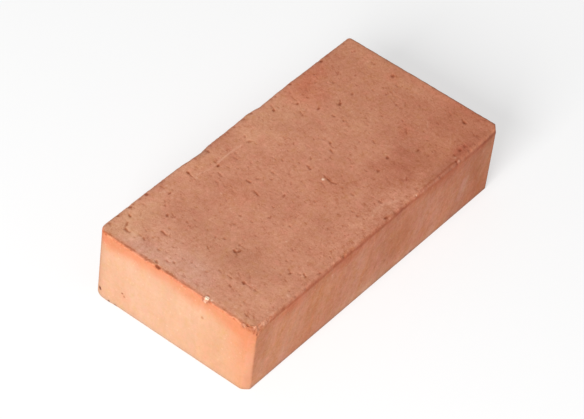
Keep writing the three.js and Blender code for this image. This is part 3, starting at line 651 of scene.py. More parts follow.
# the rim of the upper bed crumbles a little
tilt = np.degrees(np.arccos(np.clip(nz, -1, 1)))
at_rim = np.exp(-(((tilt - 48.0) / 32.0) ** 2)) * (nz >= -0.01)
crumble = (
    0.09 * noise(P, 6.0, 41) + 0.11 * noise(P, 2.8, 43) + 0.09 * noise(P, 1.7, 47)
    + 0.26 * smooth(0.40, 0.80, noise(P, 4.4, 59)) * (0.6 + 0.4 * noise(P, 1.8, 61))
)
broken = smooth(-116.5, -119.0, P[:, 0]) * 1.1  # the left rim
broken += 1.6 * smooth(-94, -112, P[:, 0]) * smooth(-44, -56, P[:, 1])  # round the near corner
broken += 0.5 * smooth(-40, -57, P[:, 1])  # the front rim
crumble = np.maximum(crumble, -0.10) * (1.0 + broken)

move = -depth + relief * (on_top + on_under) + skin * on_side - crumble * at_rim

# nicks and chips along the rim: x, y, z, radius, depth, paleness; a nick that is not pale is darkened with painted
# shade
NICKS = [
    (-119.8, 15.6, 51.8, 1.3, 0.5, 0.0), (-118.6, -53.8, 52.0, 1.1, 0.4, 0.0),
    (-118.4, -56.9, 51.6, 1.0, 0.4, 0.0), (-116.0, -59.6, 46.8, 1.1, 0.4, 0.0),
    (34.8, -59.3, 51.4, 1.6, 0.5, 0.0),
    (88.6, -58.6, 51.4, 1.6, 0.4, 0.0), (-92.0, 58.6, 51.6, 1.6, 0.5, 0.0),
    (41.6, 58.6, 51.6, 1.3, 0.45, 0.0), (88.4, 58.6, 51.6, 1.8, 0.5, 0.0),
    (117.8, 27.6, 51.4, 1.6, 0.3, 0.0), (-119.8, 52.4, 51.8, 1.5, 0.35, 0.0),
    (-119.8, 46.0, 51.8, 1.2, 0.35, 0.0), (-119.8, 28.0, 51.8, 1.1, 0.3, 0.0),
    (-119.9, -8.0, 51.8, 1.2, 0.3, 0.0), (-119.9, -45.6, 51.8, 1.3, 0.35, 0.0),
    (-72.0, -59.6, 51.2, 1.7, 0.35, 0.0), (-36.0, -59.2, 51.2, 2.0, 0.4, 0.0),
    (58.0, -59.6, 51.2, 1.6, 0.3, 0.0), (104.0, -59.6, 51.3, 1.7, 0.3, 0.0),
]
for x0, y0, z0, radius, deep, white in NICKS:
    r = np.sqrt(((P - (x0, y0, z0)) ** 2).sum(1)) / radius
    near = r < 1.6
    rr = r[near] + 0.22 * noise(P[near], 1.6, 71)
    bite = 1.0 - smooth(0.2, 1.1, rr)
    move[near] -= deep * bite
    pale[near] = np.maximum(pale[near], white * bite)
    if white == 0.0:
        dark[near] = np.maximum(dark[near], (0.35 if radius < 3.0 else 0.16) * bite)

# crevices in the broken corner and rim, darkened with painted shade: x, y, z, size, strength
CREVICES = [
    (-118.7, -53.4, 51.8, 1.2, 0.85), (-118.9, -55.0, 51.2, 0.9, 0.70), (-118.4, -50.2, 52.0, 0.8, 0.45), (-118.3, -56.8, 51.6, 1.0, 0.60),
    (-118.0, -58.5, 49.0, 1.3, 0.30), (-116.0, -59.4, 46.8, 1.1, 0.75), (-112.5, -59.5, 47.6, 1.2, 0.35),
    (-108.5, -59.5, 48.0, 1.2, 0.32), (-104.1, -59.5, 48.6, 1.3, 0.40), (-101.9, -59.5, 49.0, 1.2, 0.40),
    (-119.7, -44.3, 51.7, 0.7, 0.50), (-119.2, -25.6, 51.4, 0.9, 0.70), (-118.3, -27.9, 52.0, 0.7, 0.45),
    (-116.6, -21.4, 52.0, 0.9, 0.25), (-93.0, -59.4, 50.2, 2.0, 0.40), (20.0, -59.2, 51.0, 2.4, 0.40),
    (-62.0, -59.4, 50.0, 1.6, 0.30), (26.5, -59.3, 50.6, 1.4, 0.30), (103.0, -59.6, 49.2, 2.0, 0.35),
]
# and dents along the back rim, darkened with painted shade
CREVICES += [
    (-78.2, 56.9, 51.9, 1.5, 1.00), (-92.9, 56.8, 51.9, 1.5, 0.95), (-89.8, 57.0, 51.9, 1.1, 0.60),
    (88.0, 56.7, 51.9, 1.5, 0.90), (-24.2, 55.6, 51.9, 1.3, 0.55), (57.6, 57.0, 51.9, 1.3, 0.80),
    (20.0, 57.4, 51.9, 1.3, 0.65), (-111.6, 56.4, 51.9, 1.3, 0.70), (-103.2, 57.1, 51.9, 1.3, 0.85),
    (3.2, 56.8, 51.9, 1.2, 0.60), (12.5, 57.2, 51.9, 1.2, 0.60), (42.3, 56.6, 51.9, 1.2, 0.50),
    (-5.8, 56.6, 51.9, 1.1, 0.50), (-2.9, 56.8, 51.9, 1.1, 0.45), (-64.2, 57.2, 51.9, 1.2, 0.50),
    (111.0, 57.0, 51.9, 1.1, 0.50), (71.0, 56.6, 51.9, 1.1, 0.50), (-18.9, 56.5, 51.9, 1.2, 0.50),
    (-83.2, 57.2, 51.9, 1.1, 0.60), (38.6, 56.6, 51.9, 1.1, 0.45), (-61.8, 57.0, 51.9, 1.1, 0.45),
    (74.8, -58.6, 51.6, 1.0, 0.80), (74.9, -59.8, 50.2, 1.0, 0.80), (75.6, -60.0, 48.9, 0.9, 0.55),
]
for x0, y0, z0, size, strength in CREVICES:
    r = np.sqrt(((P - (x0, y0, z0)) ** 2).sum(1)) / size
    near = r < 2.4
    rr = r[near] + 0.25 * noise(P[near], 1.5, 77)
    split = 1.0 - smooth(0.3, 1.4, rr)
    dark[near] = np.maximum(dark[near], strength * split)
    move[near] -= 0.22 * strength * split

for x0, y0, z0, size, strength in PALE:
    r = np.sqrt(((P - (x0, y0, z0)) ** 2).sum(1)) / size
    near = r < 2.2
    rr = r[near] + 0.18 * noise(P[near], 1.3, 73)
    spot = 1.0 - smooth(0.45, 1.25, rr)
    pale[near] = np.maximum(pale[near], strength * spot)
    move[near] += 0.10 * strength * spot

rubbed = np.zeros(len(P))
for x0, y0, x1, y1, width, strength in SCRATCHES:
    r = run_distance(P[top, 0], P[top, 1], x0, y0, x1, y1) / (width * 0.5)
    line = strength * (1.0 - smooth(0.3, 1.6, r + 0.3 * noise(P[top], 2.6, 79)))
    rubbed[top] = np.maximum(rubbed[top], line)

# specks and pocks in the sides' skin, the pocks' darkness partly painted shade: face, along, up, radius, depth,
# darkness
POCKS = [
    ("left", 36.0, 13.6, 0.8, 0.35, 0.20), ("left", -22.6, 36.6, 0.9, 0.30, 0.20),
    ("left", -17.0, 36.0, 0.7, 0.15, 0.2),
    ("left", -9.6, 46.0, 0.7, 0.2, 0.25),
    ("left", 10.0, 37.8, 0.7, 0.12, 0.15), ("left", -52.0, 7.0, 0.8, 0.2, 0.25),
    ("front", -74.6, 12.0, 0.7, 0.2, 0.35), ("front", -48.0, 43.0, 0.8, 0.15, 0.2),
    ("front", 51.0, 7.0, 0.6, 0.2, 0.3), ("front", 96.0, 14.0, 0.7, 0.15, 0.2),
    ("front", -13.0, 44.0, 0.6, 0.1, 0.2),
]
for _ in range(34):
    face = ("left", "front", "right", "back")[int(random.integers(0, 4))]
    span = 52.0 if face in ("left", "right") else 112.0
    shown = face in ("left", "front")
    POCKS.append((
        face, random.uniform(-span, span), random.uniform(4.0, 46.0), random.uniform(0.5, 1.0),
        random.uniform(0.05, 0.3), random.uniform(0.05, 0.16 if shown else 0.6),
    ))
POCKS.append(((-119.4, 53.9, 5.7), 0, 0, 1.3, 0.5, 0.40))
for face, along, up, radius, deep, black in POCKS:
    centre = face if isinstance(face, tuple) else {
        "left": (-HX, along, up), "right": (HX, along, up),
        "front": (along, -HY, up), "back": (along, HY, up),
    }[face]
    r = np.sqrt(((P - centre) ** 2).sum(1)) / radius
    near = r < 2.5
    bowl = 1.0 - smooth(0.3, 1.5, r[near] + 0.2 * noise(P[near], 1.2, 83))
    move[near] -= deep * bowl
    dark[near] = np.maximum(dark[near], black * (1.0 - smooth(0.4, 1.8, r[near])))

# a small burr stands out of the foot of the left end
foot = np.exp(-(((P[:, 1] - 48.0) / 5.0) ** 2)) * np.exp(-((P[:, 2] / 2.2) ** 2)) * (N[:, 0] < -0.4)
move += 0.45 * foot

V = P + N * move[:, None]

V[:, 2] = np.maximum(V[:, 2], 0.0)  # it stands on the high spots of its lower bed

# the rim's front right corner is worn to a small flat
flat = np.array([0.6154, -0.7626, 0.1995])
past = V @ flat - 126.2
V -= np.where(past > -0.4, 0.5 * (past + np.sqrt(past * past + 0.01)), 0.0)[:, None] * flat

# bites broken out of the rim, each the inside of an ellipsoid: centre, radii, roughness
BITES = [
    ((-120.5, -58.7, 53.0), (4.9, 4.4, 4.6), 0.12), ((-118.0, -60.8, 52.6), (4.3, 4.5, 4.7), 0.12),
    ((-119.7, -59.9, 48.4), (2.5, 2.5, 3.2), 0.14), ((-121.2, -55.2, 53.0), (3.1, 2.9, 2.9), 0.12),
    ((-114.2, -61.4, 52.8), (3.2, 4.2, 4.4), 0.14), ((-110.6, -61.6, 53.2), (3.0, 4.1, 4.5), 0.14),
    ((-107.2, -61.5, 53.2), (2.5, 3.7, 4.1), 0.14), ((-104.0, -61.6, 53.2), (2.6, 3.6, 4.0), 0.14),
    ((-100.4, -61.7, 53.0), (2.6, 3.3, 3.6), 0.14),
    ((-121.4, -51.4, 53.2), (3.1, 3.0, 3.0), 0.12), ((-121.9, -23.2, 53.0), (3.6, 5.4, 2.9), 0.12),
    ((-121.3, -29.6, 53.1), (2.2, 2.8, 2.2), 0.12),
    ((-121.0, 12.8, 53.2), (2.9, 2.6, 2.2), 0.10), ((-121.2, -44.4, 52.9), (2.0, 1.6, 2.1), 0.10),
    ((-121.3, 46.0, 53.0), (2.1, 2.4, 2.2), 0.12), ((-121.3, 33.4, 53.0), (2.0, 2.8, 2.1), 0.12),
    ((-121.3, 22.0, 53.0), (2.0, 2.0, 2.2), 0.12), ((-121.3, -2.0, 53.0), (2.0, 3.0, 2.1), 0.12),
    ((-121.3, -36.4, 53.0), (1.9, 2.4, 2.1), 0.12), ((-93.0, -61.5, 52.7), (2.8, 2.4, 3.0), 0.12),
    ((20.0, -61.5, 52.8), (4.0, 2.3, 2.9), 0.12), ((6.6, -61.2, 53.2), (2.2, 2.9, 2.4), 0.10),
    ((77.2, -61.9, 52.9), (2.2, 2.7, 2.9), 0.10), ((-62.0, -61.6, 52.8), (3.0, 2.2, 2.7), 0.12),
    ((-30.0, -61.4, 52.8), (3.4, 2.0, 2.6), 0.12), ((52.0, -61.8, 52.9), (3.6, 2.1, 2.6), 0.12),
]
torn, in_bite = np.zeros(len(P)), np.zeros(len(P))
bite_noise = 0.6 * noise(P, 2.6, 89) + 0.5 * noise(P, 1.5, 97)
for centre, radii, roughness in BITES:
    q = (V - centre) / radii
    d = np.linalg.norm(q, axis=1)
    reach = 0.95 + roughness * bite_noise
    brim = reach + 0.24  # the skin between the bite and its brim is spread out, so it doesn't fold
    inside = d < brim
    pushed = reach[inside] + 0.24 * (d[inside] / brim[inside]) ** 4
    V[inside] = np.array(centre) + q[inside] / d[inside][:, None] * pushed[:, None] * radii
    torn = np.maximum(torn, smooth(1.16, 0.96, d))
    in_bite = np.maximum(in_bite, smooth(1.02, 0.88, d))

# the crests between bites are crumbled off
sides_of = np.vstack([quads[:, [0, 1]], quads[:, [1, 2]], quads[:, [2, 3]], quads[:, [3, 0]]])
sides_of = sides_of[(torn[sides_of] > 0.0).any(axis=1)]
ends = np.concatenate([sides_of[:, 0], sides_of[:, 1]])
others = np.concatenate([sides_of[:, 1], sides_of[:, 0]])
met = np.maximum(np.bincount(ends, minlength=len(V)), 1)
for _ in range(4):
    mean = np.stack([np.bincount(ends, V[others, a], minlength=len(V)) / met for a in range(3)], 1)
    V += (mean - V) * (0.5 * torn * (met > 1))[:, None]

# ------------------------------------------------------------------ broad colour
# Every patch multiplies the clay's colour: centre, radii, turn, strength, (r, g, b).
def patch_mask(u, v, cu, cv, ru, rv, turn, ragged, points, seed):
    a = math.radians(turn)
    du, dv = u - cu, v - cv
    p = (du * math.cos(a) + dv * math.sin(a)) / ru
    q = (-du * math.sin(a) + dv * math.cos(a)) / rv
    r = np.sqrt(p * p + q * q) + ragged * fbm(points, 11.0, seed, 3)
    return 1.0 - smooth(0.2, 1.4, r)


tint = np.ones((len(P), 3))


def stain(weight, u, v, rows, seed, ragged=0.4):
    where = np.nonzero(weight > 0.0)[0]
    for i, (cu, cv, ru, rv, turn, strength, colour) in enumerate(rows):
        m = patch_mask(u[where], v[where], cu, cv, ru, rv, turn, ragged, P[where], seed + i)
        m *= strength * weight[where]
        tint[where] *= 1.0 + (np.array(colour) - 1.0) * m[:, None]


def wash(weight, colour):
    tint[:] *= 1.0 + (np.array(colour) - 1.0) * weight[:, None]


x, y, zc = P[:, 0], P[:, 1], P[:, 2]
w_top = smooth(0.12, 0.45, nz)
w_under = smooth(0.12, 0.45, -nz)
w_side = 1.0 - w_top - w_under
w_left = smooth(0.12, 0.52, -N[:, 0]) * w_side
w_right = smooth(0.3, 0.7, N[:, 0]) * w_side
w_front = np.clip(w_side - w_left - w_right, 0, 1) * (y < 0)
w_back = np.clip(w_side - w_left - w_right, 0, 1) * (y > 0)

MAUVE, RED, TAN, BROWN, OCHRE = (
    (1.00, 1.16, 1.36), (1.04, 0.80, 0.74), (1.04, 1.10, 1.06), (0.88, 0.80, 0.76), (1.02, 1.05, 0.88),
)

# the upper bed: mauve and paler by the left end, redder and darker towards the right
wash(w_top * smooth(-20, -120, x) * 0.8, (1.06, 1.16, 1.20))
wash(w_top * smooth(20, 118, x), (0.88, 0.80, 0.76))
wash(w_top * smooth(10, 100, x) * smooth(10, -50, y) * 0.7, (0.97, 0.88, 0.85))
wash(w_top * smooth(96, 112, x) * smooth(-24, -4, y), (1.14, 1.25, 1.26))
TOP_STAINS = [
    # mauve by the left end, tan in its two corners and along the back
    (-113, 24, 9, 20, 8, 0.60, MAUVE), (-108, -6, 14, 16, 0, 0.60, MAUVE),
    (-98, 12, 8, 20, -8, 0.25, MAUVE), (-110, -49, 14, 10, 0, 0.25, TAN),
    (-103, 48, 24, 12, 0, 0.90, (1.10, 1.24, 1.20)), (-38, 51, 18, 10, 0, 0.85, (1.10, 1.18, 1.15)),
    (22, 45, 34, 14, -4, 0.95, (1.12, 1.24, 1.22)), (62, 10, 22, 16, 20, 0.50, TAN),
    # the darker band a third of the way along, and the redder middle
    (-81, -12, 17, 40, 0, 0.95, (0.87, 0.84, 0.81)), (-78, 30, 10, 22, 4, 0.25, BROWN),
    (-41, 18, 15, 13, 0, 0.80, (0.95, 0.88, 0.86)), (-33, -34, 32, 11, 3, 0.75, (0.90, 0.86, 0.84)),
    (7, -17, 20, 15, 10, 0.95, (0.89, 0.80, 0.77)), (-2, 12, 20, 10, 30, 0.50, (0.92, 0.87, 0.86)),
    (43, -38, 22, 17, -12, 1.00, (0.84, 0.72, 0.69)), (59, 45, 17, 15, -20, 0.50, RED),
    (76, 52, 16, 7, 0, 0.50, RED), (74, -20, 8, 4, 30, 0.30, RED),
    # paler towards the right end, brown along the front rim there
    (92, 27, 26, 25, 0, 0.85, (1.07, 1.10, 1.10)), (108, -15, 9, 17, 0, 0.75, (1.07, 1.10, 1.12)),
    (98, -33, 13, 13, 0, 0.30, BROWN), (85, -55, 9, 4, 0, 0.90, (0.92, 0.76, 0.74)),
    (108, 16, 5, 5, 0, 0.40, RED), (70, -44, 18, 10, 0, 0.30, OCHRE),
    (115.6, -16, 3.2, 36, 0, 0.60, (1.11, 1.03, 1.03)),
    # the front left and the two dents of the back rim
    (-114, -25, 8, 9, 0, 0.50, (1.06, 1.12, 1.13)), (-111, -53, 9, 6, 0, 0.70, (0.94, 0.90, 0.87)),
    (-52, -50, 16, 7, 0, 0.60, (1.05, 1.10, 1.10)), (2, -51, 12, 6, 0, 0.55, (1.05, 1.09, 1.09)),
    # painted shade: the bed darkened where it slopes into the back rim's dent
    (-28, 58, 9, 5, 0, 1.00, (0.78, 0.76, 0.78)),
]
stain(w_top, x, y, TOP_STAINS, 101)
# darker just inside the front rim
rim_fade = smooth(7.5, 1.0, y + 59.0 + 1.4 * fbm(P, 9.0, 311, 2))
wash(w_top * rim_fade * (0.25 + 0.5 * smooth(-60, -90, x) + 0.85 * smooth(30, 52, x) * smooth(96, 84, x)), (0.87, 0.82, 0.80))
# the breaks, newer than the skin, are a warmer brown, and darker besides with painted shade of their crumbly hollows
near_corner = smooth(-113.5, -116.0, x) * smooth(-52.0, -55.5, y)
wash(in_bite * near_corner, (0.80, 0.72, 0.64))
wash(in_bite * smooth(-115.5, -118.0, x) * (1.0 - near_corner), (0.66, 0.68, 0.70))
wash(torn * smooth(-118.0, -114.0, x) * (1.0 - near_corner) * 0.8, (0.99, 0.89, 0.83))
# painted shade on the left rim's rounding, which the lamp lights brighter than the end
wash(smooth(0.995, 0.86, nz) * smooth(0.0, 0.10, nz) * smooth(0.15, 0.4, -N[:, 0]) * smooth(-54, -46, y), (0.93, 0.82, 0.75))
# a reddened strip just inside the left rim
edge = (x + 120.0) + 1.1 * fbm(P, 5.0, 307, 2)
wash(w_top * (1.0 - smooth(0.8, 4.2, edge)) * 0.9, (1.0, 0.84, 0.74))

# the long front side: peach by the left end, redder to the right, smeared upright by the die
wash(w_front * smooth(-50, -118, x), (1.14, 1.24, 1.24))
wash(w_front * smooth(-30, 110, x), (0.93, 0.89, 0.89))
wash(w_front, (1.0, 1.0, 0.95))
under_rim = zc + 2.6 * fbm(P, 14.0, 317, 2)
wash(w_front * smooth(37, 47, under_rim) * (1.0 - 0.75 * np.exp(-(((x + 54) / 10.0) ** 2))), (0.94, 0.85, 0.79))
wash(w_front * smooth(-94, -108, x) * smooth(4, 30, zc) * smooth(50, 38, zc), (0.89, 0.81, 0.77))
wash(w_front * smooth(96, 108, x), (0.90, 0.89, 0.86))
wash(w_front * smooth(14, 3, zc) * smooth(-70, -30, x) * smooth(90, 66, x), (1.03, 1.15, 1.19))
FRONT_STAINS = [
    # pale peach over the left half, palest in its middle
    (-72, 26, 40, 24, 0, 0.25, TAN), (-54, 31, 17, 20, 0, 0.80, (1.11, 1.18, 1.12)),
    (-68, 11, 13, 8, 0, 0.60, (1.07, 1.10, 1.12)), (-46, 43, 4, 3, 0, 0.40, (1.04, 1.16, 1.2)),
    (-84, 46, 15, 5, 0, 0.50, RED), (-34, 46, 18, 5, 0, 0.40, RED), (-70, 4, 26, 5, 0, 0.30, (1.02, 0.94, 0.94)),
    # mauve smears drawn upright
    (-19, 21, 9, 26, -6, 0.55, (1.04, 1.16, 1.27)), (5, 19, 8, 24, 6, 0.25, MAUVE),
    (57, 19, 14, 20, 8, 0.80, (1.13, 1.26, 1.42)), (73, 16, 6, 16, 0, 0.45, (1.08, 1.18, 1.16)),
    (90, 22, 4.5, 11, -14, 0.80, (1.06, 1.20, 1.32)), (90.5, 23, 1.9, 8, -24, 0.90, (1.03, 1.17, 1.26)),
    (94, 40, 6, 4, 0, 0.35, (1.03, 1.12, 1.10)),
    # ochre and brown between them
    (22, 25, 18, 16, -10, 0.85, (0.92, 0.85, 0.71)), (16, 14, 9, 5, 0, 0.45, (0.86, 0.84, 0.80)),
    (1, 27, 12, 14, 8, 0.45, (0.92, 0.88, 0.86)), (80, 22, 4, 20, 0, 0.25, OCHRE),
    (98, 20, 11, 25, 0, 0.60, (0.99, 0.92, 0.77)), (100.5, 24, 3.8, 6, -14, 0.85, (0.92, 0.85, 0.80)),
    (104, 12, 4, 5, 0, 0.40, (1.02, 0.90, 0.84)), (91, 35, 9, 11, 4, 0.80, (0.93, 0.86, 0.81)),
    (110, 9, 8, 8, 0, 0.50, (1.02, 0.90, 0.70)), (87, 8, 10, 6, 0, 0.60, (0.97, 0.92, 0.85)),
    (111, 33, 8, 21, 0, 0.90, (1.07, 1.15, 1.14)),
    # red under the right half of the rim, paler between
    (62, 46, 24, 5, 0, 0.35, RED), (103, 47, 11, 3, 0, 0.45, RED), (47, 44, 16, 6, 0, 0.75, (1.05, 1.15, 1.12)),
    # dust washed up from the foot
    (-4, 5, 16, 7, 0, 0.65, (1.04, 1.16, 1.24)), (38, 7, 20, 6, 0, 0.40, (0.97, 0.88, 0.86)),
]
stain(w_front, x, zc, FRONT_STAINS, 151)

# the left end: pale, orange under the rim and down the front edge
wash(w_left * (1.0 - 0.8 * in_bite * (1.0 - near_corner)), (0.935, 1.34, 1.42))
wash(w_left * smooth(12, -50, y), (0.97, 0.93, 0.87))
wob = fbm(P, 15.0, 211, 3)
ORANGE_REACH = [  # how far the orange reaches down from the rim, by y
    (-60, 17.0), (-50, 14.0), (-38, 10.5), (-26, 8.5), (-14, 9.5), (2, 7.5), (18, 7.0), (32, 8.5), (46, 10.0), (60, 10.0),
]
reach = wave(ORANGE_REACH, y) + 2.0 * wob
band = 1.0 - smooth(reach - 6.0, reach + 4.5, HEIGHT - zc)
band *= 0.86 + 0.14 * smooth(0.0, 30.0, y)
corner = smooth(-34.0, -58.0, y + 4.0 * wob) * (0.42 + 0.50 * smooth(6.0, 46.0, zc))
side_edge = smooth(50.0, 59.0, y + 2.0 * wob) * 0.35
orange_band = np.clip(np.maximum(np.maximum(band, corner), side_edge), 0.0, 1.0)
orange_band *= 1.0 - 0.75 * in_bite * (1.0 - near_corner)
wash(w_left * orange_band, (0.985, 0.645, 0.51))
wash(w_left * smooth(-34, -50, y) * smooth(30, 44, zc), (1.01, 0.95, 0.92))
# painted light: the upright edge is lightened and made pinker where it turns, against the shading of its rounding
painted_turn_light = smooth(0.96, 0.80, -N[:, 0]) * (N[:, 1] < 0) * (x < 0)
painted_turn_light = painted_turn_light * smooth(0.40, 0.62, -N[:, 0])
wash(painted_turn_light * smooth(4, 34, zc), (1.07, 1.13, 1.26))
wash(painted_turn_light * smooth(34, 4, zc), (1.03, 1.00, 1.05))
stain(w_left, y, zc, [
    (34, 12, 4, 4, 0, 0.35, RED), (8, 30, 26, 16, 0, 0.35, (1.0, 1.05, 1.08)),
    (-30, 16, 12, 14, 0, 0.25, (1.0, 0.95, 0.92)),
], 171)

# painted grey contact shade along the foot of the sides
foot = smooth(3.2, 0.3, zc) * smooth(-0.95, -0.80, nz)
wash((w_front + w_back) * foot, (0.68, 0.80, 0.94))
wash((w_left + w_right) * foot, (0.76, 0.90, 0.98))
# low on the right and back rims the bed's colour passes into the paler one of the side, lightened further as painted
# light where the rims turn from the lamp
lower = smooth(0.84, 0.60, nz) * smooth(-0.1, 0.2, nz)
wash(lower * smooth(0.20, 0.60, N[:, 0]), (1.34, 1.30, 1.28))
wash(lower * smooth(0.20, 0.60, N[:, 1]), (1.14, 1.12, 1.11))
# and the bed is a little greyer just inside them
inside = np.maximum(smooth(54.8, 57.4, y + 0.8 * wob), smooth(116.2, 118.6, x + 0.8 * wob))
wash(w_top * inside * smooth(0.80, 0.92, nz), (0.95, 0.98, 1.01))
wash(smooth(0.30, 0.62, N[:, 0]) * smooth(0.98, 0.90, N[:, 0]) * (np.abs(nz) < 0.3), (0.95, 0.96, 0.97))

# towards the right the front rim is rubbed pale
front_rim = smooth(-0.25, -0.6, N[:, 1]) * smooth(0.10, 0.30, nz)
wash(smooth(76, 84, x) * smooth(0.30, 0.45, nz) * front_rim * smooth(0.90, 0.75, nz), (1.12, 1.18, 1.20))
wash(smooth(34, 44, x) * smooth(82, 76, x) * front_rim * smooth(0.90, 0.75, nz), (1.00, 1.01, 1.06))
# a little darker just under the rim there: painted shade under the rim's edge
wash(w_front * smooth(34, 44, x) * smooth(84, 76, x) * smooth(44.5, 48.0, zc), (0.97, 0.90, 0.88))

# the two hidden sides, fired like the others
stain(w_back, x, zc, [
    (-70, 24, 30, 22, 0, 0.5, TAN), (-10, 30, 12, 24, 12, 0.45, MAUVE), (40, 18, 22, 12, 0, 0.5, (0.90, 0.84, 0.74)),
    (88, 30, 14, 24, -8, 0.45, MAUVE), (104, 12, 14, 12, 0, 0.4, RED), (-104, 44, 16, 6, 0, 0.4, RED),
    (10, 46, 40, 5, 0, 0.45, RED), (-40, 8, 22, 7, 0, 0.3, RED),
], 181)
wash(w_right, (1.04, 1.05, 1.02))
stain(w_right, y, zc, [
    (0, 48, 50, 6, 0, 0.7, (1.0, 0.80, 0.68)), (-30, 22, 12, 18, 0, 0.35, MAUVE), (26, 16, 16, 12, 0, 0.35, BROWN),
    (52, 26, 8, 26, 0, 0.5, (1.0, 0.84, 0.72)),
], 191)
stain(w_under, x, y, [
    (-80, 20, 34, 22, 0, 0.5, TAN), (10, -24, 28, 16, 20, 0.35, RED), (70, 24, 24, 22, 0, 0.35, BROWN),
    (-20, 30, 24, 12, 0, 0.35, MAUVE), (-90, -34, 20, 14, 0, 0.35, BROWN), (96, -36, 22, 14, 0, 0.4, OCHRE),
], 221)

# ------------------------------------------------------------------ into Blender
mesh = bpy.data.meshes.new("brick_surface")
poly_start, loops = [], []
loop_ids = np.concatenate([quads.ravel(), tris.ravel()])
sizes = np.concatenate([np.full(len(quads), 4), np.full(len(tris), 3)])
starts = np.concatenate([[0], np.cumsum(sizes)[:-1]])
mesh.vertices.add(len(V))
mesh.vertices.foreach_set("co", (V * 0.001).astype(np.float32).ravel())
mesh.loops.add(len(loop_ids))
mesh.loops.foreach_set("vertex_index", loop_ids.astype(np.int32))
mesh.polygons.add(len(sizes))
mesh.polygons.foreach_set("loop_start", starts.astype(np.int32))
mesh.update(calc_edges=True)
mesh.validate()
mesh.polygons.foreach_set("use_smooth", np.ones(len(mesh.polygons), bool))


def attribute(name, values):
    a = mesh.attributes.new(name, "FLOAT", "POINT")
    a.data.foreach_set("value", np.asarray(values, np.float32))


attribute("pit", np.clip(dark, 0, 1))
attribute("pale", np.clip(pale, 0, 1))
attribute("rubbed", np.clip(rubbed, 0, 1))
attribute("torn", np.clip(torn, 0, 1))
attribute("bed", smooth(0.08, 0.45, np.abs(nz)))
# how lively the surface's grain is: full on the beds, less on the long sides, least on the ends
lively = w_top + w_under + 0.86 * (w_front + w_back) + 0.60 * w_right + 0.37 * w_left
lively += w_top * 0.45 * smooth(-34, -56, y + 5.0 * fbm(P, 22.0, 401, 2)) * smooth(-60, -30, x) * smooth(60, 30, x)
lively += 0.10 * (w_front + w_back)
attribute("lively", lively)
colour_attribute = mesh.attributes.new("tint", "FLOAT_COLOR", "POINT")
colour_attribute.data.foreach_set(
    "color", np.hstack([tint, np.ones((len(tint), 1))]).astype(np.float32).ravel()
)

# the map for baking: each face of the brick has its own island, laid out by its own millimetres
uv = mesh.uv_layers.new(name="OFBake")
co = P[loop_ids]
face_of_loop = np.repeat(np.arange(len(sizes)), sizes)
fn = np.zeros((len(sizes), 3))
np.add.at(fn, face_of_loop, N[loop_ids])
fn /= np.linalg.norm(fn, axis=1)[:, None] + 1e-12
kind = np.where(
    fn[:, 2] > 0.72, 0, np.where(fn[:, 2] < -0.72, 1, np.where(
        np.abs(fn[:, 1]) >= np.abs(fn[:, 0]), np.where(fn[:, 1] < 0, 2, 3), np.where(fn[:, 0] < 0, 4, 5)
    ))
)[face_of_loop]
cx, cy, cz = co[:, 0] + HX, co[:, 1] + HY, co[:, 2]
SHEET = 360.0
ISLANDS = [  # upper bed, lower bed, front, back, left end, right end
    (4 + cx, 4 + cy), (4 + cx, 126 + cy), (4 + cx, 248 + cz), (4 + cx, 304 + cz), (248 + cz, 4 + cy), (248 + cz, 126 + cy),
]
U = np.zeros((len(co), 2))
for i, (along, up) in enumerate(ISLANDS):
    m = kind == i
    U[m, 0], U[m, 1] = along[m], up[m]
uv.data.foreach_set("uv", (U / SHEET).astype(np.float32).ravel())

brick = bpy.data.objects.new("brick_surface", mesh)
bpy.context.scene.collection.objects.link(brick)


# ------------------------------------------------------------------ fired clay
class Nodes:
    """A short way to write a node tree."""

    def __init__(self, material):
        material.use_nodes = True
        self.tree = material.node_tree
        self.tree.nodes.clear()

    def add(self, kind, inputs=(), **settings):
        node = self.tree.nodes.new(kind)
        for key, value in settings.items():
            setattr(node, key, value)
        for key, value in dict(inputs).items():
            socket = node.inputs[key]
            if isinstance(value, bpy.types.NodeSocket):
                self.tree.links.new(value, socket)
            else:
                socket.default_value = value
        return node

    def math(self, op, a, b=0.0, clamp=False):
        return self.add("ShaderNodeMath", {0: a, 1: b}, operation=op, use_clamp=clamp).outputs[0]

    def mix(self, mode, factor, a, b):
        node = self.add("ShaderNodeMix", data_type="RGBA", blend_type=mode)
        for key, value in (("Factor", factor), ("A", a), ("B", b)):
            socket = next(s for s in node.inputs if s.name == key and s.enabled)
            if isinstance(value, bpy.types.NodeSocket):
                self.tree.links.new(value, socket)
            else:
                socket.default_value = value
        return next(s for s in node.outputs if s.enabled)

    def ramp(self, value, stops, interpolation="LINEAR"):
        node = self.add("ShaderNodeValToRGB", {"Fac": value})
        ramp = node.color_ramp
        ramp.interpolation = interpolation
        while len(ramp.elements) > 1:
            ramp.elements.remove(ramp.elements[0])
        ramp.elements[0].position, ramp.elements[0].color = stops[0]
        for position, colour in stops[1:]:
            ramp.elements.new(position).color = colour
        return node.outputs["Color"]

    def band(self, value, low, high):
        return self.add(
            "ShaderNodeMapRange",
            {"Value": value, "From Min": low, "From Max": high, "To Min": 0.0, "To Max": 1.0},
            interpolation_type="SMOOTHSTEP",
        ).outputs["Result"]

    def attr(self, name, output="Fac"):
        return self.add("ShaderNodeAttribute", attribute_name=name).outputs[output]


clay = bpy.data.materials.new("fired_clay")
n = Nodes(clay)
place_mm = n.add(
    "ShaderNodeVectorMath",
    {0: n.add("ShaderNodeTexCoord").outputs["Object"], 1: (1000.0, 1000.0, 1000.0)},
    operation="MULTIPLY",
).outputs[0]
drawn = n.add(  # drawn out along the wire's travel on the beds
    "ShaderNodeMapping", {"Vector": place_mm, "Rotation": (0.0, 0.0, math.radians(-17.0)), "Scale": (1.0, 1.6, 1.0)},
    vector_type="TEXTURE",
).outputs[0]


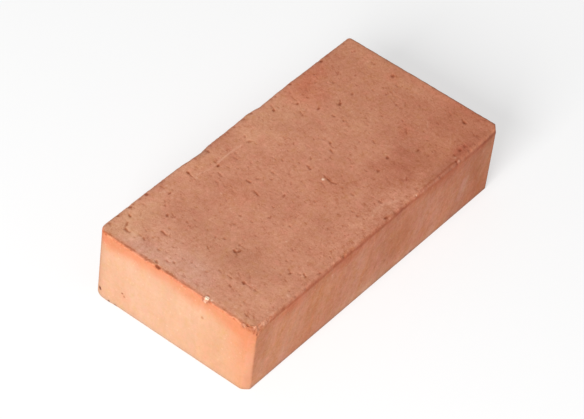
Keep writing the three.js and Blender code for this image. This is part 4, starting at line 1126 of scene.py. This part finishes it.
def grain(scale, detail, rough=0.5, vector=None, distortion=0.0):
    return n.add(
        "ShaderNodeTexNoise",
        {"Vector": vector or place_mm, "Scale": scale, "Detail": detail, "Roughness": rough, "Distortion": distortion},
    ).outputs["Fac"]


def grain_vector(scale):
    return n.add("ShaderNodeTexNoise", {"Vector": place_mm, "Scale": scale, "Detail": 2.0, "Roughness": 0.5}).outputs["Color"]


def scaled(value, factor, add=0.0):
    return n.add("ShaderNodeMath", {0: value, 1: factor, 2: add}, operation="MULTIPLY_ADD").outputs[0]


def times(a, b):
    return n.math("MULTIPLY", a, b)


def dyed(colour, factor, by):
    return n.mix("MULTIPLY", factor, colour, (*by, 1))


pit, pale_at, rubbed_at, bed_at = n.attr("pit"), n.attr("pale"), n.attr("rubbed"), n.attr("bed")
tint_at = n.attr("tint", "Color")
side_at = scaled(bed_at, -1.0, 1.0)
lively_at = n.attr("lively")

slow = grain(0.028, 3.0, 0.55)
middle = grain(0.13, 4.0, 0.6, drawn)
fine = grain(0.40, 3.0, 0.6)
dust = grain(1.1, 3.0, 0.6)

BED_A, BED_B = (0.580, 0.250, 0.150, 1), (0.520, 0.212, 0.126, 1)
SIDE_A, SIDE_B = (0.545, 0.212, 0.122, 1), (0.525, 0.198, 0.113, 1)
bed_colour = n.mix("MIX", n.band(slow, 0.32, 0.68), BED_A, BED_B)
side_colour = n.mix("MIX", n.band(slow, 0.32, 0.68), SIDE_A, SIDE_B)
colour = n.mix("MIX", bed_at, side_colour, bed_colour)
colour = n.mix("MULTIPLY", 1.0, colour, tint_at)

# brightness that changes from patch to patch and from grain to grain
def about(value, factor):
    return scaled(value, factor, -0.5 * factor)


broad = times(about(middle, 0.38), lively_at)
close = times(n.math("ADD", about(fine, 0.60), about(dust, 0.52)), lively_at)
# slanted smears and streaks that the die left on the sides
upright = n.add(
    "ShaderNodeMapping", {"Vector": place_mm, "Rotation": (0.0, math.radians(15.0), 0.0), "Scale": (1.0, 1.0, 8.0)},
    vector_type="TEXTURE",
).outputs[0]
smear = n.math("ADD", about(grain(0.10, 3.0, 0.6, upright), 0.42), about(grain(0.42, 3.0, 0.6, upright), 0.22))
smear = times(smear, times(side_at, lively_at))
broad = n.math("ADD", broad, smear)
shade_red = n.math("ADD", times(broad, scaled(side_at, 0.16, 0.60)), times(close, scaled(side_at, -0.14, 0.60)))
shade_blue = n.math("ADD", times(broad, scaled(side_at, 0.20, 1.42)), times(close, scaled(side_at, -0.20, 1.42)))
shade_colour = n.add("ShaderNodeCombineColor", {
    0: n.math("ADD", shade_red, 1.0), 1: scaled(n.math("ADD", broad, close), 1.10, 1.0), 2: n.math("ADD", shade_blue, 1.0),
}).outputs[0]
colour = n.mix("MULTIPLY", 1.0, colour, shade_colour)

# hue wanders between pink and ochre over a few millimetres
hue = grain(0.20, 4.0, 0.62)
colour = dyed(colour, scaled(n.band(hue, 0.50, 0.74), 0.70), (1.03, 0.90, 0.92))
colour = dyed(colour, scaled(n.band(hue, 0.50, 0.26), 0.70), (1.0, 1.06, 0.92))
# between orange and pink over a millimetre or so on the sides
blush = times(n.math("ADD", about(grain(0.20, 4.0, 0.62), 0.95), about(grain(0.9, 3.0, 0.65), 0.60)), times(scaled(side_at, 0.85, 0.10), scaled(lively_at, 0.8, 0.24)))
rouge = times(n.math("ADD", about(grain(0.33, 3.0, 0.62), 0.55), about(grain(1.0, 3.0, 0.65), 0.60)), scaled(side_at, 0.90, 0.10))
colour = n.mix("MULTIPLY", 1.0, colour, n.add("ShaderNodeCombineColor", {
    0: scaled(rouge, 0.30, 1.0), 1: n.math("ADD", scaled(rouge, -0.12, 1.0), scaled(blush, 0.14)), 2: scaled(blush, 0.66, 1.0),
}).outputs[0])
# and in smears on the sides
side_hue = grain(0.07, 3.0, 0.6, upright)
side_dye = times(side_at, lively_at)
colour = dyed(colour, times(n.band(side_hue, 0.52, 0.70), side_dye), (1.0, 1.09, 1.22))
colour = dyed(colour, times(n.band(side_hue, 0.48, 0.30), side_dye), (0.99, 0.91, 0.80))

# fine torn strokes along the wire's travel
def strokes(scale, slot, thin, gap, low, high, bend):
    field = grain(scale, 3.0, 0.55, drawn, bend)
    line = n.band(n.math("ABSOLUTE", n.math("SUBTRACT", field, slot)), thin, thin * 0.12)
    return times(times(line, n.band(grain(gap, 2.0, 0.5), low, high)), bed_at)


stroke = n.math("MAXIMUM", strokes(0.30, 0.50, 0.030, 0.16, 0.50, 0.64, 0.8), strokes(0.52, 0.46, 0.030, 0.25, 0.52, 0.68, 1.2))
colour = dyed(colour, scaled(stroke, 0.90), (0.88, 0.79, 0.74))

# flecks of every size: soft dark specks, a share of the cells holding one
warped = n.add("ShaderNodeTexNoise", {"Vector": place_mm, "Scale": 0.8, "Detail": 2.0, "Roughness": 0.6}).outputs["Color"]
warped = n.add("ShaderNodeVectorMath", {0: warped, 1: (1.7, 1.7, 1.7), 2: drawn}, operation="MULTIPLY_ADD").outputs[0]


def flecks(scale, size, share):
    cells = n.add("ShaderNodeTexVoronoi", {"Vector": warped, "Scale": scale, "Randomness": 1.0})
    pick = n.add("ShaderNodeSeparateColor", {0: cells.outputs["Color"]}).outputs
    body = n.band(cells.outputs["Distance"], size, size * 0.30)
    return times(body, n.band(pick[0], 1.0 - share, 1.0)), times(body, n.band(pick[1], 1.0 - share * 0.5, 1.0))


small_dark, small_pale = flecks(0.62, 0.42, 0.60)
mid_dark, mid_pale = flecks(0.33, 0.34, 0.50)
wide_dark, _ = flecks(0.16, 0.30, 0.55)
fleck_at = times(lively_at, scaled(bed_at, 0.55, 0.45))
colour = dyed(colour, times(small_dark, scaled(fleck_at, 0.75)), (0.86, 0.73, 0.65))
colour = dyed(colour, times(mid_dark, scaled(fleck_at, 0.85)), (0.83, 0.69, 0.60))
colour = dyed(colour, times(wide_dark, scaled(fleck_at, 0.70)), (0.83, 0.70, 0.62))
colour = dyed(colour, times(small_pale, scaled(fleck_at, 0.95)), (1.10, 1.16, 1.18))
colour = dyed(colour, times(mid_pale, scaled(fleck_at, 0.75)), (1.08, 1.13, 1.14))

# loose pale and dark grains in the body
grains = n.add("ShaderNodeTexVoronoi", {"Vector": place_mm, "Scale": 0.40, "Randomness": 1.0})
near_grain = n.band(grains.outputs["Distance"], 0.30, 0.14)
which = n.add("ShaderNodeSeparateColor", {0: grains.outputs["Color"]})
pale_grain = times(near_grain, n.band(which.outputs[0], 0.88, 0.97))
dark_grain = times(near_grain, n.band(which.outputs[1], 0.84, 0.97))
colour = n.mix("MIX", scaled(pale_grain, 0.16), colour, (0.80, 0.52, 0.38, 1))
colour = dyed(colour, times(dark_grain, scaled(bed_at, 0.5, 0.3)), (0.80, 0.68, 0.60))

# rubbed lines, chips, and pits darkened partly as clay and partly with painted shade in their hollows
colour = n.mix("MIX", scaled(rubbed_at, 0.62), colour, (0.78, 0.44, 0.31, 1))
edge_noise = scaled(n.math("SUBTRACT", grain(0.85, 3.0, 0.6), 0.5), 0.9)
hole = n.math("ADD", pit, times(edge_noise, n.band(pit, 0.0, 0.35)))
colour = dyed(colour, scaled(n.band(hole, 0.0, 0.86), 0.97), (0.66, 0.47, 0.37))
colour = dyed(colour, scaled(n.band(hole, 0.55, 1.05), 0.80), (0.70, 0.58, 0.50))
chip = n.math("ADD", pale_at, times(edge_noise, n.band(pale_at, 0.0, 0.4)), clamp=True)
chip_colour = n.mix("MIX", n.band(chip, 0.45, 1.0), (0.74, 0.42, 0.29, 1), (0.90, 0.73, 0.57, 1))
colour = n.mix("MIX", n.band(chip, 0.02, 0.80), colour, chip_colour)

# small dark specks on the left end, finer than the mesh
speck_at = n.add("ShaderNodeVectorMath", {0: grain_vector(1.6), 1: (0.5, 0.5, 0.5)}, operation="SUBTRACT").outputs[0]
speck_at = n.add("ShaderNodeVectorMath", {0: speck_at, 1: (1.1, 1.1, 1.1), 2: place_mm}, operation="MULTIPLY_ADD").outputs[0]
SPECKS = [
    ((-119.4, 53.9, 5.7), 1.55, (0.28, 0.16, 0.12)), ((-120.0, 36.5, 13.9), 0.95, (0.52, 0.34, 0.28)),
    ((-120.0, 34.9, 12.2), 0.90, (0.76, 0.60, 0.54)), ((-120.0, -22.6, 36.6), 1.2, (0.80, 0.68, 0.60)),
    ((9.6, -59.0, 14.4), 1.2, (0.84, 0.76, 0.72)), ((-0.6, -59.0, 15.9), 1.1, (0.86, 0.78, 0.74)),
    ((38.0, -59.0, 1.6), 1.6, (0.72, 0.72, 0.76)), ((33.0, -59.0, 1.6), 1.3, (0.76, 0.76, 0.80)),
    ((-120.0, 46.0, 0.8), 1.1, (0.50, 0.45, 0.46)), ((-120.0, 41.0, 0.7), 1.0, (0.55, 0.50, 0.50)),
]
for centre, size, by in SPECKS:
    far = n.add("ShaderNodeVectorMath", {0: speck_at, 1: centre}, operation="DISTANCE").outputs["Value"]
    colour = dyed(colour, n.band(far, size * 1.25, size * 0.45), by)

# crumbled clay in the bites: pale and dark grains side by side
torn_at = n.attr("torn")
crumb = grain(0.75, 3.0, 0.65)
colour = dyed(colour, times(torn_at, n.band(crumb, 0.50, 0.36)), (0.74, 0.60, 0.52))
colour = dyed(colour, times(torn_at, n.band(crumb, 0.52, 0.66)), (1.16, 1.26, 1.30))

# ragged reddish-brown lines, partly darker clay and partly painted shade under the rim's edge: along the left rim on
# the bed, and under the front rim
at = n.add("ShaderNodeSeparateXYZ", {0: place_mm})
px, py, pz = at.outputs
wander = n.math("ADD", about(grain(0.20, 2.0, 0.5), 1.8), about(grain(0.70, 3.0, 0.65), 2.6))
breaks = n.band(grain(0.11, 3.0, 0.65), 0.34, 0.58)
left_line = n.band(n.math("ABSOLUTE", n.math("ADD", n.math("ADD", px, 118.5), wander)), 1.45, 0.15)
left_line = times(left_line, n.band(pz, 50.6, 51.2))
left_line = times(left_line, scaled(breaks, 0.70, 0.30))
left_line = times(left_line, scaled(n.band(py, -20.0, -2.0), 0.62, 0.38))
colour = dyed(colour, scaled(left_line, 0.95), (0.74, 0.54, 0.42))
lower = n.math("ADD", scaled(n.band(px, 35.0, 60.0), 0.9, -49.9), scaled(n.band(px, 82.0, 90.0), 0.4))
front_line = n.math("ABSOLUTE", n.math("ADD", n.math("ADD", pz, lower), scaled(wander, 0.6)))
front_line = times(n.band(front_line, 2.7, 0.3), n.band(py, -57.6, -58.6))
front_line = times(front_line, scaled(breaks, 0.35, 0.65))
front_line = times(front_line, n.band(px, -112.0, -100.0))
faint = times(n.band(px, 32.0, 42.0), n.band(px, 88.0, 80.0))
front_line = times(front_line, scaled(faint, -0.62, 1.0))
colour = dyed(colour, front_line, (0.80, 0.60, 0.53))
# a second one above it, right of the middle, likewise partly painted shade
second = n.math("ABSOLUTE", n.math("ADD", n.math("ADD", py, 58.1), scaled(wander, 0.5)))
second = times(n.band(second, 0.95, 0.1), times(n.band(pz, 50.4, 51.2), times(n.band(px, 34.0, 42.0), n.band(px, 80.0, 76.0))))
colour = dyed(colour, times(second, scaled(breaks, 0.45, 0.55)), (0.80, 0.66, 0.60))

# relief finer than the mesh
coarse_h = times(grain(0.6, 3.0, 0.55), scaled(bed_at, 0.8, 0.2))
fine_h = grain(2.2, 2.0, 0.6)
height = n.math("ADD", coarse_h, scaled(fine_h, 0.35))
height = n.math("ADD", height, times(scaled(crumb, 3.0), torn_at))
height = n.math("SUBTRACT", height, times(scaled(mid_dark, 0.9), bed_at))
height = n.math("SUBTRACT", height, times(scaled(small_dark, 0.5), bed_at))
bump = n.add("ShaderNodeBump", {"Strength": 1.0, "Distance": 0.00011, "Height": height})

rough = scaled(bed_at, 0.06, 0.76)
rough = n.math("ADD", scaled(grain(0.8, 2.0), 0.12), rough)
shader = n.add(
    "ShaderNodeBsdfPrincipled",
    {"Base Color": colour, "Roughness": rough, "Normal": bump.outputs["Normal"], "IOR": 1.45,
     "Specular IOR Level": 0.30, "Metallic": 0.0},
)
n.add("ShaderNodeOutputMaterial", {"Surface": shader.outputs[0]})
mesh.materials.append(clay)

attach(brick, "root")
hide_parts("brick")

# ------------------------------------------------------------------ floor, light and camera
floor_mesh = bpy.data.meshes.new("floor")
F = 7.0
floor_mesh.from_pydata([(-F, -F, 0), (F, -F, 0), (F, F, 0), (-F, F, 0)], [], [(0, 1, 2, 3)])
floor = bpy.data.objects.new("floor", floor_mesh)
floor.location.z = -0.0002
bpy.context.scene.collection.objects.link(floor)
paper = bpy.data.materials.new("paper")
f = Nodes(paper)
paper_shader = f.add(
    "ShaderNodeBsdfPrincipled",
    {"Base Color": (0.40, 0.40, 0.40, 1), "Roughness": 0.95, "Specular IOR Level": 0.1,
     "Emission Color": (1.0, 1.0, 1.0, 1), "Emission Strength": 0.57},
)
f.add("ShaderNodeOutputMaterial", {"Surface": paper_shader.outputs[0]})
floor_mesh.materials.append(paper)

world = bpy.data.worlds.new("studio")
world.use_nodes = True
bpy.context.scene.world = world
world.node_tree.nodes["Background"].inputs[0].default_value = (1.0, 1.0, 1.0, 1)
world.node_tree.nodes["Background"].inputs[1].default_value = 0.36


def lamp(name, place, aim, size, watts, colour=(1, 1, 1)):
    data = bpy.data.lights.new(name, "AREA")
    data.shape = "SQUARE"
    data.size = size
    data.energy = watts
    data.color = colour
    ob = bpy.data.objects.new(name, data)
    ob.location = place
    direction = [a - b for a, b in zip(aim, place)]
    from mathutils import Vector
    ob.rotation_mode = "QUATERNION"
    ob.rotation_quaternion = Vector(direction).to_track_quat("-Z", "Y")
    ob.visible_camera = False
    bpy.context.scene.collection.objects.link(ob)
    return ob


lamp("key", (-2.09, -0.48, 1.22), (0.0, 0.0, 0.03), 1.1, 85.0)

camera_data = bpy.data.cameras.new("camera")
camera_data.sensor_width = 36.0
camera_data.lens = 179.6
camera_data.clip_start = 0.1
camera_data.clip_end = 50.0
camera = bpy.data.objects.new("camera", camera_data)
camera.location = (-1.05689, -0.69249, 1.24583)
camera.rotation_mode = "XYZ"
camera.rotation_euler = tuple(math.radians(v) for v in (45.67795, -5.44639, -51.26755))
bpy.context.scene.collection.objects.link(camera)
bpy.context.scene.camera = camera

bpy.context.scene.view_settings.view_transform = "Standard"
bpy.context.scene.view_settings.look = "None"

bpy.context.view_layer.update()
